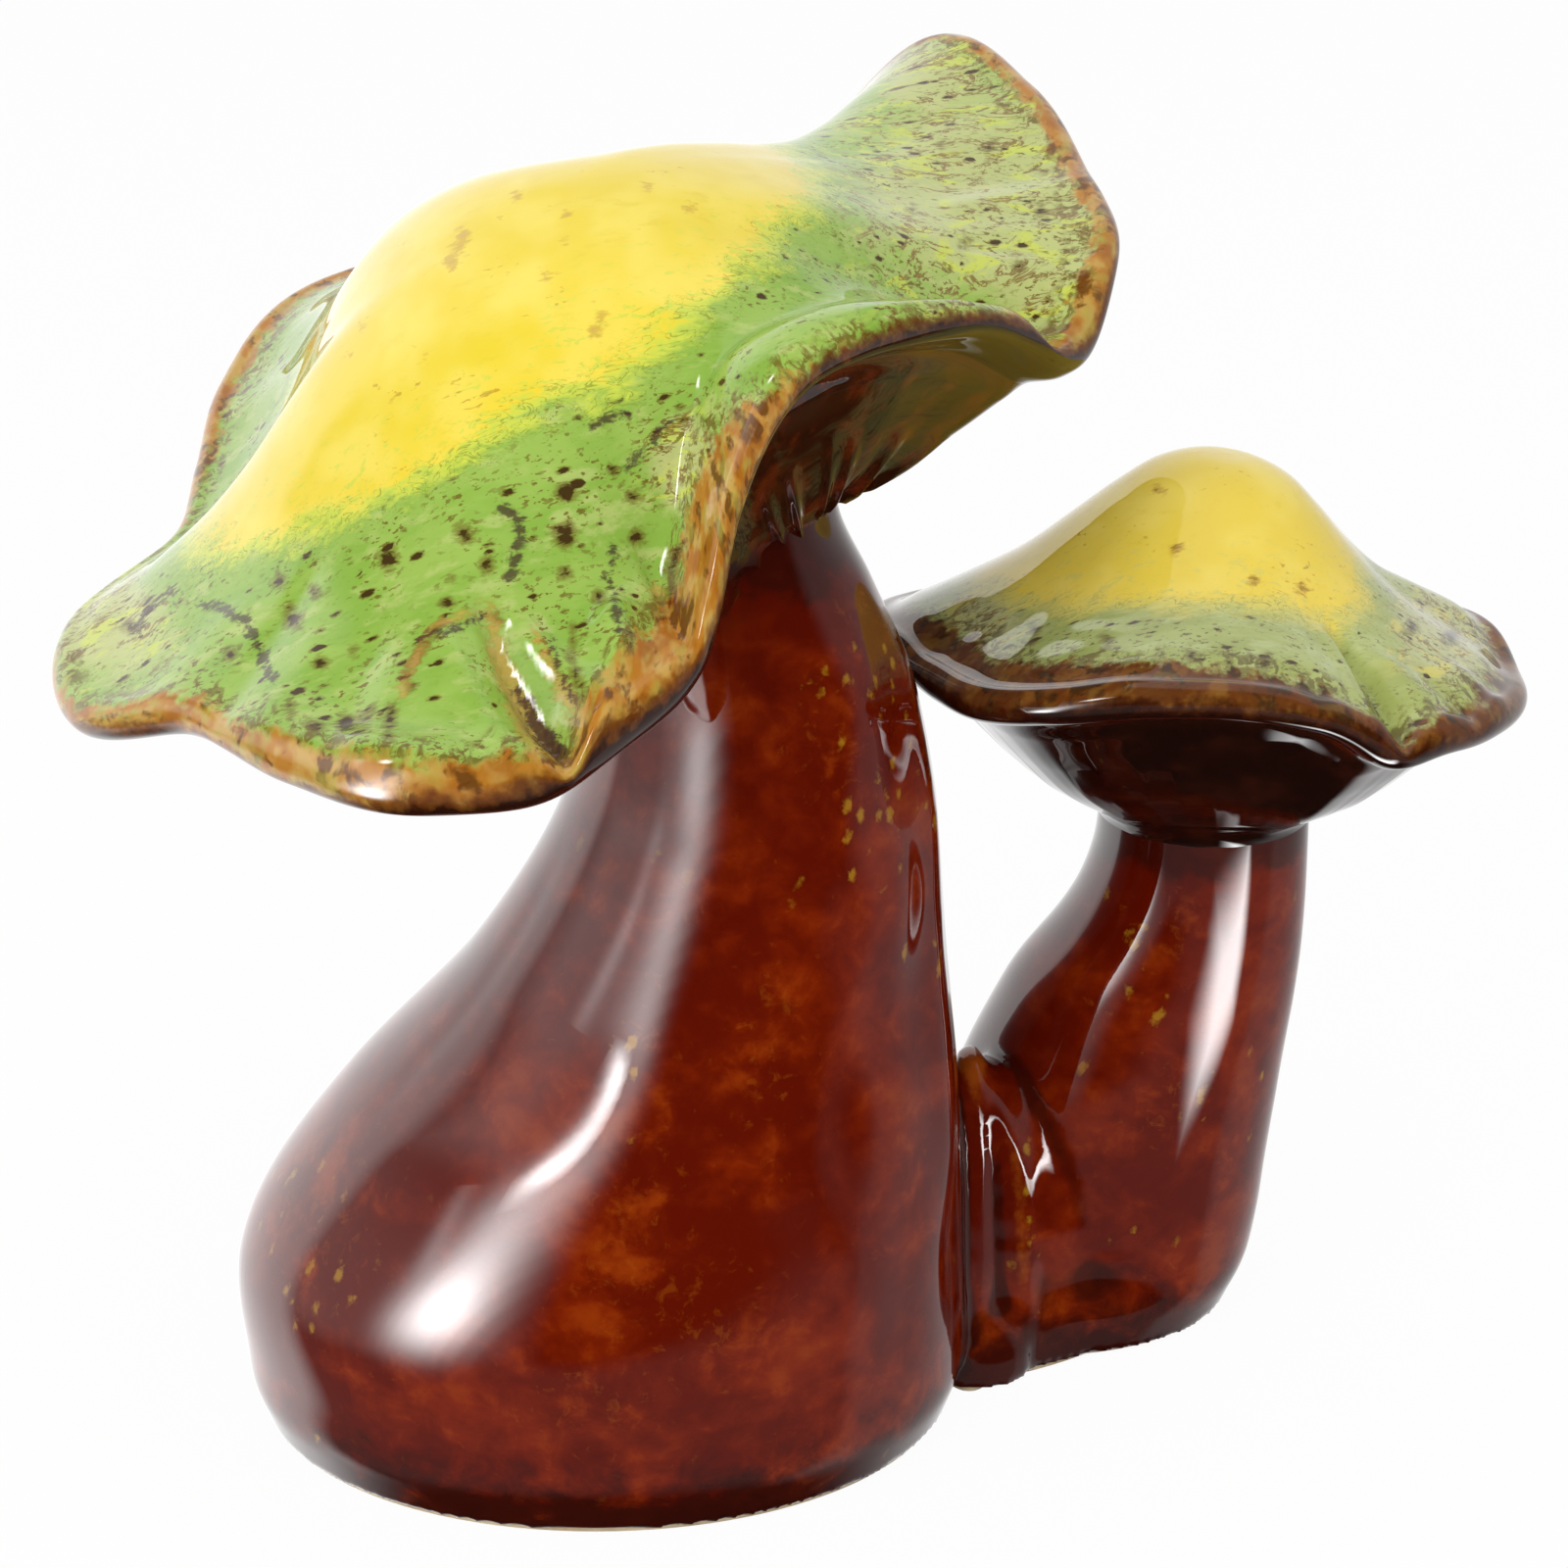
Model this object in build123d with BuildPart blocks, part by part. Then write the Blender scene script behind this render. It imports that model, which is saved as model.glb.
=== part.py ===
"""Glazed ceramic ornament of two mushrooms that grow from one foot.

Each mushroom is a swaying stem, a gilled underside luted on the stem and a waved crown luted on
the gills. A slab closes the stems below, and three rolled folds of clay fill the crook between them.
Millimetres and degrees. The origin is on the table below the middle of the ornament, +Z is up and
the side that the ornament shows faces -Y.
"""

import os
from math import cos, exp, radians, sin

from build123d import *

# Sizes that both mushrooms share
slab_thickness = 3.5
vent_diameter = 8.0
ring_points = 45
lobe_start_share = 0.8
lobe_growth_share = 1.5
neck_turn_share = 0.33

# Large stem
large_stem_x = -19.0
large_stem_y = 0.0
large_stem_height = 99.0
bulb_half_width = 38.0
bulb_half_depth = 33.0
large_stem_sway = 16.0
large_neck_radius = 13.0
large_neck_tilt_front = 12.0
large_neck_tilt_left = 6.0

# Large cap, placed from the neck of its stem
large_cap_offset_x = -10.04
large_cap_offset_y = 0.0
large_cap_lift = 9.0
large_cap_reach = 50.0
large_crown_rise = 24.5
large_rim_wave = 20.0
large_rim_thickness = 5.0
large_cap_tilt_front = 26.0
large_cap_tilt_left = 12.0
large_gill_sag = 1.5

# Small stem, which stands beside the large bulb
small_stem_gap = 10.0
small_stem_y = 24.0
small_stem_height = 60.5
small_foot_half_width = 20.0
small_foot_half_depth = 17.0
small_stem_sway_x = 16.3
small_stem_sway_y = 4.0
small_neck_radius = 11.1

# Small cap, placed from the neck of its stem
small_cap_offset_x = -1.6
small_cap_offset_y = 0.0
small_cap_lift = 19.1
small_cap_reach = 33.3
small_crown_rise = 19.5
small_rim_wave = 5.0
small_rim_thickness = 4.0
small_cap_tilt_front = 0.0
small_cap_tilt_left = -7.0
small_gill_sag = 2.0

# Folds of clay that hang from the crook between the stems
crook_gap = 1.0
crook_y = 11.0
fold_height_share = 0.53
fold_spread_x = 10.5
fold_spread_y = 5.0
fold_half_width = 3.2
fold_half_depth = 7.0

# Web of the slab between the two feet, below the folds
web_gap = 8.4
web_y = 13.0
web_half_width = 18.0
web_half_depth = 8.0
web_turn = 35.0

# Reach and lift of the large rim in 24 directions, anticlockwise from the right
large_reach_shares = [
    0.88, 1.03, 1.10, 1.22, 1.32, 1.14, 1.00, 0.98, 1.00, 1.02, 0.98, 0.91,
    0.90, 1.10, 1.14, 1.02, 1.04, 1.06, 0.92, 0.75, 0.60, 0.60, 0.65, 0.76,
]
large_lift_shares = [
    0.22, 0.09, 0.00, 0.00, -0.10, -0.80, -1.15, -1.00, -0.50, -0.30, -0.30, -0.35,
    -0.30, -0.15, 0.00, 0.25, 0.30, 0.30, 0.20, 0.15, 0.60, 1.00, 1.00, 0.75,
]
small_reach_shares = [
    1.00, 1.00, 1.00, 1.00, 0.98, 0.96, 0.95, 0.96, 0.98, 1.00, 1.00, 1.00,
    0.99, 0.94, 0.93, 0.98, 1.00, 0.98, 0.97, 0.98, 1.00, 1.01, 1.00, 1.00,
]
small_lift_shares = [
    0.10, 0.45, 0.30, -0.10, -0.45, -0.70, -0.90, -1.00, -1.00, -1.00, -0.90, -0.70,
    -0.50, -0.40, -0.45, -0.25, 0.25, 0.75, 1.00, 0.90, 0.50, 0.35, 0.30, 0.20,
]

# Crown profiles from the top to the rim: share of the reach, of the crown's rise and of the wave
large_crown_shares = [
    (0.13, 0.985, 0.00),
    (0.26, 0.92, 0.02),
    (0.38, 0.81, 0.07),
    (0.48, 0.68, 0.16),
    (0.57, 0.52, 0.28),
    (0.66, 0.35, 0.46),
    (0.75, 0.21, 0.65),
    (0.84, 0.11, 0.82),
    (0.92, 0.04, 0.94),
]
small_crown_shares = [
    (0.11, 0.985, 0.00),
    (0.22, 0.91, 0.02),
    (0.33, 0.76, 0.06),
    (0.45, 0.57, 0.15),
    (0.60, 0.36, 0.40),
    (0.76, 0.21, 0.70),
    (0.90, 0.09, 0.93),
]

# Creases and hollows of a crown: direction, half width in degrees, depth as a share of the rim's
# thickness, and the middle and half length as shares of the reach
large_hollow_shares = [
    (266.0, 7.0, 0.45, 1.00, 0.35),
    (3.0, 7.0, 0.90, 1.00, 0.25),
    (64.0, 34.0, 0.85, 0.62, 0.26),
]
small_hollow_shares = [(300.0, 8.0, 0.45, 1.00, 0.30)]

# Round of the rim from its upper to its lower edge: shares of the rim's thickness, out and down
rim_round_shares = [(0.10, 0.00), (0.42, 0.22), (0.50, 0.52), (0.38, 0.82), (0.05, 1.00)]
lip_reach_share = 0.93

# Way from the lip to the neck, and how far the gills sag below a straight cone there
gill_shares = [(0.15, 0.20), (0.35, 0.70), (0.57, 1.00), (0.80, 0.60)]

# Stems from the foot up: share of the height, of the sway along X and Y, and of the two widths
large_stem_shares = [
    (0.00, 0.00, 0.0, 0.947, 0.894),
    (0.06, 0.00, 0.0, 1.000, 0.970),
    (0.20, -0.01, 0.0, 1.000, 1.000),
    (0.36, 0.28, 0.0, 0.855, 0.879),
    (0.52, 0.69, 0.0, 0.645, 0.697),
    (0.69, 0.97, 0.0, 0.495, 0.576),
    (0.83, 0.99, 0.0, 0.413, 0.500),
    (0.93, 0.84, 0.0, 0.363, 0.424),
    (1.00, 0.69, 0.0, 0.342, 0.394),
]
small_stem_shares = [
    (0.00, 0.00, 0.00, 1.00, 1.00),
    (0.13, 0.19, -0.12, 1.03, 1.00),
    (0.32, 0.38, -0.31, 0.94, 0.91),
    (0.51, 0.545, -0.50, 0.865, 0.853),
    (0.67, 0.72, -0.69, 0.775, 0.765),
    (0.80, 0.905, -0.84, 0.64, 0.694),
    (0.91, 0.985, -0.95, 0.572, 0.66),
    (1.00, 1.00, -1.00, 0.555, 0.653),
]
large_stem_sections = 12
small_stem_sections = 8

# Folds from left to right: how far the foot lies from the crook along X and Y, the width and
# the height
fold_shares = {
    "left": (0.00, -1.00, 0.90, 1.00),
    "middle": (0.54, -0.45, 1.00, 0.94),
    "right": (1.00, -0.10, 1.25, 0.87),
}
# A fold from its foot to the crook: share of the height, of the spread and of the two widths
fold_way_shares = [
    (0.00, 1.00, 1.00, 1.00),
    (0.30, 0.96, 1.00, 0.95),
    (0.70, 0.75, 0.80, 0.70),
    (1.00, 0.15, 0.40, 0.40),
]


def between(before, low, high, after, share):
    """A smooth curve's value between two table values, from them and their neighbours."""
    slope_low = (high - before) / 2
    slope_high = (after - low) / 2
    rest = high - low
    bend = 3 * rest - 2 * slope_low - slope_high
    turn = slope_low + slope_high - 2 * rest
    return low + share * (slope_low + share * (bend + share * turn))


def round_value(shares, angle):
    """The value of a table of evenly spaced directions at any angle."""
    place = (angle / 360 % 1) * len(shares)
    first = int(place)
    values = [shares[(first + step) % len(shares)] for step in (-1, 0, 1, 2)]
    return between(*values, place - first)


def stem_value(rows, column, level):
    """The value of a column of a stem's table at a level from 0 to 1."""
    heights = [row[0] for row in rows]
    upper = next(place for place in range(1, len(rows)) if level <= heights[place])
    picked = [min(max(place, 0), len(rows) - 1) for place in range(upper - 2, upper + 2)]
    share = (level - heights[upper - 1]) / (heights[upper] - heights[upper - 1])
    return between(*[rows[place][column] for place in picked], share)


def directions():
    """The angles at which every ring of a cap has a point."""
    return [360 * point / ring_points for point in range(ring_points)]


def ring(points):
    """A closed smooth wire through the points."""
    with BuildLine() as line:
        Spline(*points, periodic=True)
    return line.wire()


def crown_rings(cap, reach, rise, wave, thickness, reaches, lifts, profile, hollows):
    """The rings of a crown from below its top, over the rim and in to the lip."""
    mean_share = sum(reaches) / len(reaches)
    steps = [(share, crown, swell, 0, 0) for share, crown, swell in profile]
    steps += [(1, 0, 1, out, down) for out, down in rim_round_shares]
    steps += [(lip_reach_share, 0, lip_reach_share, 0, 1)]
    rings = []
    for share, crown, swell, out, down in steps:
        waved = min(share / lobe_start_share, 1) ** lobe_growth_share
        points = []
        for angle in directions():
            lobe = waved * round_value(reaches, angle) + (1 - waved) * mean_share
            across = share * lobe * reach + out * thickness
            up = crown * rise + swell * round_value(lifts, angle) * wave - down * thickness
            for place, spread, depth, middle, length in hollows:
                away = min(abs(angle - place), 360 - abs(angle - place))
                fade = (away / spread) ** 2 + ((share - middle) / length) ** 2
                up -= depth * thickness * exp(-fade)
            corner = (across * cos(radians(angle)), across * sin(radians(angle)), up)
            points.append(cap.from_local_coords(corner))
        rings.append(points)
    return rings


def gill_rings(cap, lip, neck, neck_radius, sag):
    """The rings of the gilled underside from the neck out to just inside the lip."""
    round_neck = [
        neck.from_local_coords((neck_radius * cos(radians(a)), neck_radius * sin(radians(a)), 0))
        for a in directions()
    ]
    rings = [round_neck]
    for share, hang in reversed(gill_shares):
        drop = cap.z_dir * (-sag * hang)
        rings.append(
            [
                Vector(*outer) * (1 - share) + Vector(*inner) * share + drop
                for outer, inner in zip(lip, round_neck)
            ]
        )
    return rings


def cap_pieces(plane, neck, reach, rise, wave, thickness, reaches, lifts, profile, hollows, radius, sag):
    """The solids of a crown and of its gills, which meet on the cone from the lip to the middle."""
    rings = crown_rings(plane, reach, rise, wave, thickness, reaches, lifts, profile, hollows)
    lip = ring(rings[-1])
    top = Vertex(*plane.from_local_coords((0, 0, rise)))
    middle = Vertex(*plane.origin)
    crown = [top, *[ring(points) for points in rings[:-1]], lip, middle]
    under = [ring(points) for points in gill_rings(plane, rings[-1], neck, radius, sag)]
    return Solid.make_loft(crown, ruled=True), Solid.make_loft([*under, lip, middle], ruled=True)


def stem_level_plane(x, y, height, sway_x, sway_y, rows, neck, level):
    """The plane of a stem's section, which turns to the neck's own plane over the last stretch."""
    place = (
        x + sway_x * stem_value(rows, 1, level),
        y + sway_y * stem_value(rows, 2, level),
        height * level,
    )
    turned = max(0, 1 - (1 - level) / neck_turn_share) ** 2
    return Plane(place, z_dir=Vector(0, 0, 1) * (1 - turned) + neck.z_dir * turned)


# Places that follow from the sizes above
bulb_side_x = large_stem_x + bulb_half_width
small_stem_x = bulb_side_x + small_stem_gap
crook_x = bulb_side_x + crook_gap
web_x = bulb_side_x + web_gap
fold_height = small_stem_height * fold_height_share
large_neck_x = large_stem_x + large_stem_sway * large_stem_shares[-1][1]
small_neck_x = small_stem_x + small_stem_sway_x
small_neck_y = small_stem_y - small_stem_sway_y

large_neck_plane = Plane((large_neck_x, large_stem_y, large_stem_height)).rotated(
    (large_neck_tilt_front, -large_neck_tilt_left, 0)
)
large_cap_plane = Plane(
    (
        large_neck_x + large_cap_offset_x,
        large_stem_y + large_cap_offset_y,
        large_stem_height + large_cap_lift,
    )
).rotated((large_cap_tilt_front, -large_cap_tilt_left, 0))
small_neck_plane = Plane((small_neck_x, small_neck_y, small_stem_height))
small_cap_plane = Plane(
    (
        small_neck_x + small_cap_offset_x,
        small_neck_y + small_cap_offset_y,
        small_stem_height + small_cap_lift,
    )
).rotated((small_cap_tilt_front, -small_cap_tilt_left, 0))

# The two whole stems, from which the stems above the slab and the slab itself are cut
with BuildPart() as large_body:
    for section in range(large_stem_sections + 1):
        level = section / large_stem_sections
        with BuildSketch(
            stem_level_plane(
                large_stem_x,
                large_stem_y,
                large_stem_height,
                large_stem_sway,
                0,
                large_stem_shares,
                large_neck_plane,
                level,
            )
        ):
            Ellipse(
                bulb_half_width * stem_value(large_stem_shares, 3, level),
                bulb_half_depth * stem_value(large_stem_shares, 4, level),
            )
    loft(ruled=True)

with BuildPart() as small_body:
    for section in range(small_stem_sections + 1):
        level = section / small_stem_sections
        with BuildSketch(
            stem_level_plane(
                small_stem_x,
                small_stem_y,
                small_stem_height,
                small_stem_sway_x,
                small_stem_sway_y,
                small_stem_shares,
                small_neck_plane,
                level,
            )
        ):
            Ellipse(
                small_foot_half_width * stem_value(small_stem_shares, 3, level),
                small_foot_half_depth * stem_value(small_stem_shares, 4, level),
            )
    loft()

fold_bodies = {}
for side, (spread_x, spread_y, width, reach) in fold_shares.items():
    with BuildPart() as body:
        for height, spread, across, along in fold_way_shares:
            place = (
                crook_x + fold_spread_x * spread_x * spread,
                crook_y + fold_spread_y * spread_y * spread,
                slab_thickness + fold_height * reach * height,
            )
            with BuildSketch(Plane(place)):
                Ellipse(fold_half_width * width * across, fold_half_depth * along)
        loft()
    fold_bodies[side] = body

crown, gills = cap_pieces(
    large_cap_plane,
    large_neck_plane,
    large_cap_reach,
    large_crown_rise,
    large_rim_wave,
    large_rim_thickness,
    large_reach_shares,
    large_lift_shares,
    large_crown_shares,
    large_hollow_shares,
    large_neck_radius,
    large_gill_sag,
)
with BuildPart() as large_cap:
    add(crown)
with BuildPart() as large_gills:
    add(gills)

crown, gills = cap_pieces(
    small_cap_plane,
    small_neck_plane,
    small_cap_reach,
    small_crown_rise,
    small_rim_wave,
    small_rim_thickness,
    small_reach_shares,
    small_lift_shares,
    small_crown_shares,
    small_hollow_shares,
    small_neck_radius,
    small_gill_sag,
)
with BuildPart() as small_cap:
    add(crown)
with BuildPart() as small_gills:
    add(gills)

with BuildPart() as large_stem:
    add(large_body.part)
    split(bisect_by=Plane.XY.offset(slab_thickness), keep=Keep.TOP)

with BuildPart() as small_stem:
    add(small_body.part)
    split(bisect_by=Plane.XY.offset(slab_thickness), keep=Keep.TOP)
    add(large_stem.part, mode=Mode.SUBTRACT)

folds = {}
for side, body in fold_bodies.items():
    with BuildPart() as fold:
        add(body.part)
        for neighbour in (large_stem, small_stem, *folds.values()):
            add(neighbour.part, mode=Mode.SUBTRACT)
    folds[side] = fold

with BuildPart() as foot_slab:
    add(large_body.part)
    add(small_body.part)
    split(bisect_by=Plane.XY.offset(slab_thickness), keep=Keep.BOTTOM)
    with BuildSketch(Plane.XY):
        with Locations((web_x, web_y)):
            Ellipse(web_half_width, web_half_depth, rotation=web_turn)
        with Locations((crook_x, crook_y - fold_spread_y)):
            Ellipse(fold_half_width, fold_half_depth)
    extrude(amount=slab_thickness)
    with Locations((large_stem_x, large_stem_y), (small_stem_x, small_stem_y)):
        Hole(vent_diameter / 2)

os.makedirs("parts", exist_ok=True)
for name, piece in {
    "foot_slab": foot_slab,
    "large_stem": large_stem,
    "large_gills": large_gills,
    "large_cap": large_cap,
    "small_stem": small_stem,
    "small_gills": small_gills,
    "small_cap": small_cap,
    **{f"root_fold_{side}": fold for side, fold in folds.items()},
}.items():
    piece.part.label = name
    export_step(piece.part, f"parts/{name}.step")
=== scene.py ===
"""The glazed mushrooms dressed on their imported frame: waved crowns, gilled undersides and one root.

Lengths in the tables are millimetres, as in the part's source, and turn into metres in the meshes.
Directions are degrees round a cap or a stem, from the right over the back. Shares of a cap's reach
run from 0 in its middle to 1 at its rim.
"""

from math import cos, pi, radians, sin, tan

import bpy
import numpy as np
from mathutils import Matrix, Vector, noise


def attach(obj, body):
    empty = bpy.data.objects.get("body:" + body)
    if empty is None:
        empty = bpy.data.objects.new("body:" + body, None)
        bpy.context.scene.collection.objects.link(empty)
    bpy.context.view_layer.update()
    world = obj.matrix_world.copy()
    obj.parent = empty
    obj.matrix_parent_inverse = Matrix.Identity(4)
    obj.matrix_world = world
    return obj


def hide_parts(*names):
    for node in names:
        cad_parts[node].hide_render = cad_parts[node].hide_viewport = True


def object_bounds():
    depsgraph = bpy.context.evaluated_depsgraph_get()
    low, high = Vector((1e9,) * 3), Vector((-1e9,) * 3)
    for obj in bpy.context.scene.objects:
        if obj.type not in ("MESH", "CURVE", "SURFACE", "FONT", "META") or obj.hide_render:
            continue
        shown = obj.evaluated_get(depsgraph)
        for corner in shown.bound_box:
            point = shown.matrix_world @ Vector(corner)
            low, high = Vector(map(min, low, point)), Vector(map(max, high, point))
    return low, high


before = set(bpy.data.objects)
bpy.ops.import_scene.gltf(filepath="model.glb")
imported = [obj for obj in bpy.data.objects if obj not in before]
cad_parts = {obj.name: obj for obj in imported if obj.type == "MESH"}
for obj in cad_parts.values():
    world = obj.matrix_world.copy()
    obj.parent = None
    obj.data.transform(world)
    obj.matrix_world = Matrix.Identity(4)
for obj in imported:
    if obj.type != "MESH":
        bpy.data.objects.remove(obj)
cad_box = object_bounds()
METRE = 0.001

# The caps, as in the part itself: reach and lift of the rim in 24 directions, the crown's steps as
# share, height and swell, and hollows as direction, half width, depth, share and half length
large_cap = {
    "place": (-18.0, 0.0, 108.0), "front": 26.0, "left": 12.0, "reach": 50.0, "rise": 24.5,
    "wave": 20.0, "thickness": 5.0, "sag": 1.5, "neck": (-7.96, 0.0, 99.0), "neck_front": 12.0,
    "neck_left": 6.0, "neck_radius": 13.0,
    "reaches": [
        0.88, 1.03, 1.10, 1.22, 1.32, 1.14, 1.00, 0.98, 1.00, 1.02, 0.98, 0.91,
        0.90, 1.10, 1.14, 1.02, 1.04, 1.06, 0.92, 0.75, 0.60, 0.60, 0.65, 0.76,
    ],
    "lifts": [
        0.22, 0.09, 0.00, 0.00, -0.10, -0.80, -1.15, -1.00, -0.50, -0.30, -0.30, -0.35,
        -0.30, -0.15, 0.00, 0.25, 0.30, 0.30, 0.20, 0.15, 0.60, 1.00, 1.00, 0.75,
    ],
    "crown": [
        (0.13, 0.985, 0.00), (0.26, 0.92, 0.02), (0.38, 0.81, 0.07), (0.48, 0.68, 0.16),
        (0.57, 0.52, 0.28), (0.66, 0.35, 0.46), (0.75, 0.21, 0.65), (0.84, 0.11, 0.82),
        (0.92, 0.04, 0.94),
    ],
    "hollows": [
        (266.0, 7.0, 0.45, 1.00, 0.35),
        (3.0, 7.0, 0.90, 1.00, 0.25),
        (64.0, 34.0, 0.85, 0.62, 0.26),
    ],
}
small_cap = {
    "place": (43.7, 20.0, 79.6), "front": 0.0, "left": -7.0, "reach": 33.3, "rise": 19.5,
    "wave": 5.0, "thickness": 4.0, "sag": 2.0, "neck": (45.3, 20.0, 60.5), "neck_front": 0.0,
    "neck_left": 0.0, "neck_radius": 11.1,
    "reaches": [
        1.00, 1.00, 1.00, 1.00, 0.98, 0.96, 0.95, 0.96, 0.98, 1.00, 1.00, 1.00,
        0.99, 0.94, 0.93, 0.98, 1.00, 0.98, 0.97, 0.98, 1.00, 1.01, 1.00, 1.00,
    ],
    "lifts": [
        0.10, 0.45, 0.30, -0.10, -0.45, -0.70, -0.90, -1.00, -1.00, -1.00, -0.90, -0.70,
        -0.50, -0.40, -0.45, -0.25, 0.25, 0.75, 1.00, 0.90, 0.50, 0.35, 0.30, 0.20,
    ],
    "crown": [
        (0.11, 0.985, 0.00), (0.22, 0.91, 0.02), (0.33, 0.76, 0.06), (0.45, 0.57, 0.15),
        (0.60, 0.36, 0.40), (0.76, 0.21, 0.70), (0.90, 0.09, 0.93),
    ],
    "hollows": [(300.0, 8.0, 0.45, 1.00, 0.30)],
}
# How the waves grow from the middle to the rim
lobe_start = 0.8
lobe_growth = 1.5
# The rounded rim, out and down in shares of its thickness, and the share at the lip below it
rim_round = [(0.10, 0.00), (0.42, 0.22), (0.50, 0.52), (0.38, 0.82), (0.05, 1.00)]
lip_reach = 0.93
# The underside from the lip to the neck, as shares of the way and of its sag, then the collar
# round the neck, as depth and width to the neck's, and how far the underside sinks beside it
gill_way = [(0.15, 0.20), (0.35, 0.70), (0.57, 1.00), (0.80, 0.60)]
large_cap["collar"] = [(2.4, 1.012), (4.4, 0.94)]
small_cap["collar"] = [(2.0, 0.985), (4.2, 0.80)]
large_cap["neck_fillet"] = 1.5
small_cap["neck_fillet"] = 2.2

# Finger flutes pressed into a crown: their directions where they start and at the rim, their
# half width in degrees, their depth in millimetres, below zero for a raised roll, and the shares
# of the reach between which they run
large_cap["flutes"] = [
    (257.0, 269.0, 1.8, 3.0, 0.64, 1.20),
    (252.5, 264.0, 1.8, -1.0, 0.70, 1.20),
    (262.0, 273.5, 1.8, -1.3, 0.70, 1.20),
    (283.5, 286.0, 2.0, 1.6, 0.66, 1.00),
    (275.0, 277.0, 3.6, -2.6, 0.76, 0.93),
    (251.0, 251.0, 12.0, -2.2, 0.90, 1.20),
    (244.0, 246.0, 2.6, 0.6, 0.72, 1.00),
    (236.0, 237.0, 3.0, -0.6, 0.75, 1.00),
    (228.0, 230.0, 2.4, 0.7, 0.68, 1.00),
    (220.0, 221.0, 3.5, -0.5, 0.74, 1.00),
    (200.0, 200.0, 8.0, -0.9, 0.86, 1.20),
    (357.5, 357.5, 2.0, 1.6, 0.84, 1.20),
    (353.0, 353.0, 2.5, -0.7, 0.84, 1.20),
    (8.0, 8.0, 3.5, -0.7, 0.78, 1.20),
    (16.0, 14.0, 2.0, 0.6, 0.70, 1.10),
    (27.0, 26.0, 3.0, -0.5, 0.70, 1.10),
    (330.0, 330.0, 12.0, -0.5, 0.84, 1.10),
    (150.0, 150.0, 5.0, 0.8, 0.70, 1.10),
    (120.0, 122.0, 4.0, -0.8, 0.70, 1.10),
    (86.0, 84.0, 4.0, 0.8, 0.70, 1.10),
]
small_cap["flutes"] = [
    (302.5, 301.0, 2.2, 1.6, 0.58, 1.20),
    (297.5, 295.5, 3.0, -0.7, 0.60, 1.20),
    (308.5, 309.0, 3.6, -0.7, 0.70, 1.20),
    (317.0, 318.0, 2.6, 0.7, 0.78, 1.20),
    (328.0, 328.0, 4.0, -0.5, 0.80, 1.10),
    (284.0, 284.0, 3.5, 0.4, 0.86, 1.10),
    (250.0, 250.0, 9.0, -0.4, 0.88, 1.10),
    (200.0, 200.0, 6.0, 0.5, 0.76, 1.10),
    (120.0, 120.0, 8.0, -0.5, 0.76, 1.10),
    (60.0, 60.0, 6.0, 0.5, 0.76, 1.10),
]

# Where the yellow glaze ends, as a share of the reach, in 24 directions
large_cap["yellow"] = [
    0.46, 0.50, 0.54, 0.56, 0.58, 0.60, 0.62, 0.62, 0.62, 0.64, 0.68, 0.74,
    0.77, 0.76, 0.70, 0.64, 0.54, 0.46, 0.42, 0.43, 0.45, 0.465, 0.47, 0.46,
]
small_cap["yellow"] = [
    0.46, 0.46, 0.48, 0.50, 0.50, 0.52, 0.54, 0.56, 0.58, 0.60, 0.64, 0.68,
    0.73, 0.72, 0.69, 0.65, 0.60, 0.61, 0.60, 0.60, 0.61, 0.58, 0.53, 0.48,
]
# Where the amber band along the rim begins, in millimetres inside the rim's top edge, and where
# the dark brown of the lip begins
large_cap["band"] = [
    -0.6, 0.2, 0.8, 0.6, 0.6, 1.0, 1.2, 1.2, 1.4, 1.6, 1.2, 0.2,
    -1.2, -1.8, -1.4, -0.6, -0.4, -0.6, 0.8, 4.2, 3.2, -2.4, -3.6, -3.2,
]
large_cap["scorch"] = [
    -2.2, -3.0, -3.4, -3.4, -3.4, -3.4, -3.4, -3.4, -3.4, -3.4, -3.4, -3.2,
    -3.0, -2.8, -3.0, -3.4, -3.6, -3.2, -1.9, -2.3, -4.2, -3.2, -2.8, -2.4,
]
small_cap["band"] = [
    1.6, 1.2, 1.2, 1.6, 1.6, 1.6, 1.6, 1.6, 1.6, 1.6, 1.6, 1.8,
    2.6, 3.2, 3.8, 3.8, 3.4, 2.8, 2.0, 1.2, 0.0, 0.8, 1.6, 2.0,
]
small_cap["scorch"] = [
    -2.4, -2.6, -2.6, -2.6, -2.6, -2.6, -2.6, -2.6, -2.6, -2.6, -2.6, -2.6,
    -1.6, -1.6, -1.8, -2.4, -2.4, -2.4, -2.4, -2.2, -2.0, -2.4, -2.4, -2.4,
]


def curve_between(before, low, high, after, share):
    """A value between low and high, on the smooth curve that runs through all four."""
    slope_low = (high - before) / 2
    slope_high = (after - low) / 2
    rest = high - low
    bend = 3 * rest - 2 * slope_low - slope_high
    turn = slope_low + slope_high - 2 * rest
    return low + share * (slope_low + share * (bend + share * turn))


def round_value(table, angles):
    """Values of a table of evenly spaced directions at the angles, along a smooth curve."""
    table = np.asarray(table, float)
    place = (np.asarray(angles, float) / 360 % 1) * len(table)
    first = np.floor(place).astype(int)
    four = (table[(first + step) % len(table)] for step in (-1, 0, 1, 2))
    return curve_between(*four, place - first)


def away(angles, direction):
    """How far the angles lie from a direction, in degrees, with its sign."""
    return (angles - direction + 180) % 360 - 180


def smoothly(low, high, values):
    """Turns from 0 to 1 between two values, gently at both ends."""
    share = np.clip((np.asarray(values, float) - low) / (high - low), 0, 1)
    return share * share * (3 - 2 * share)


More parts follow.
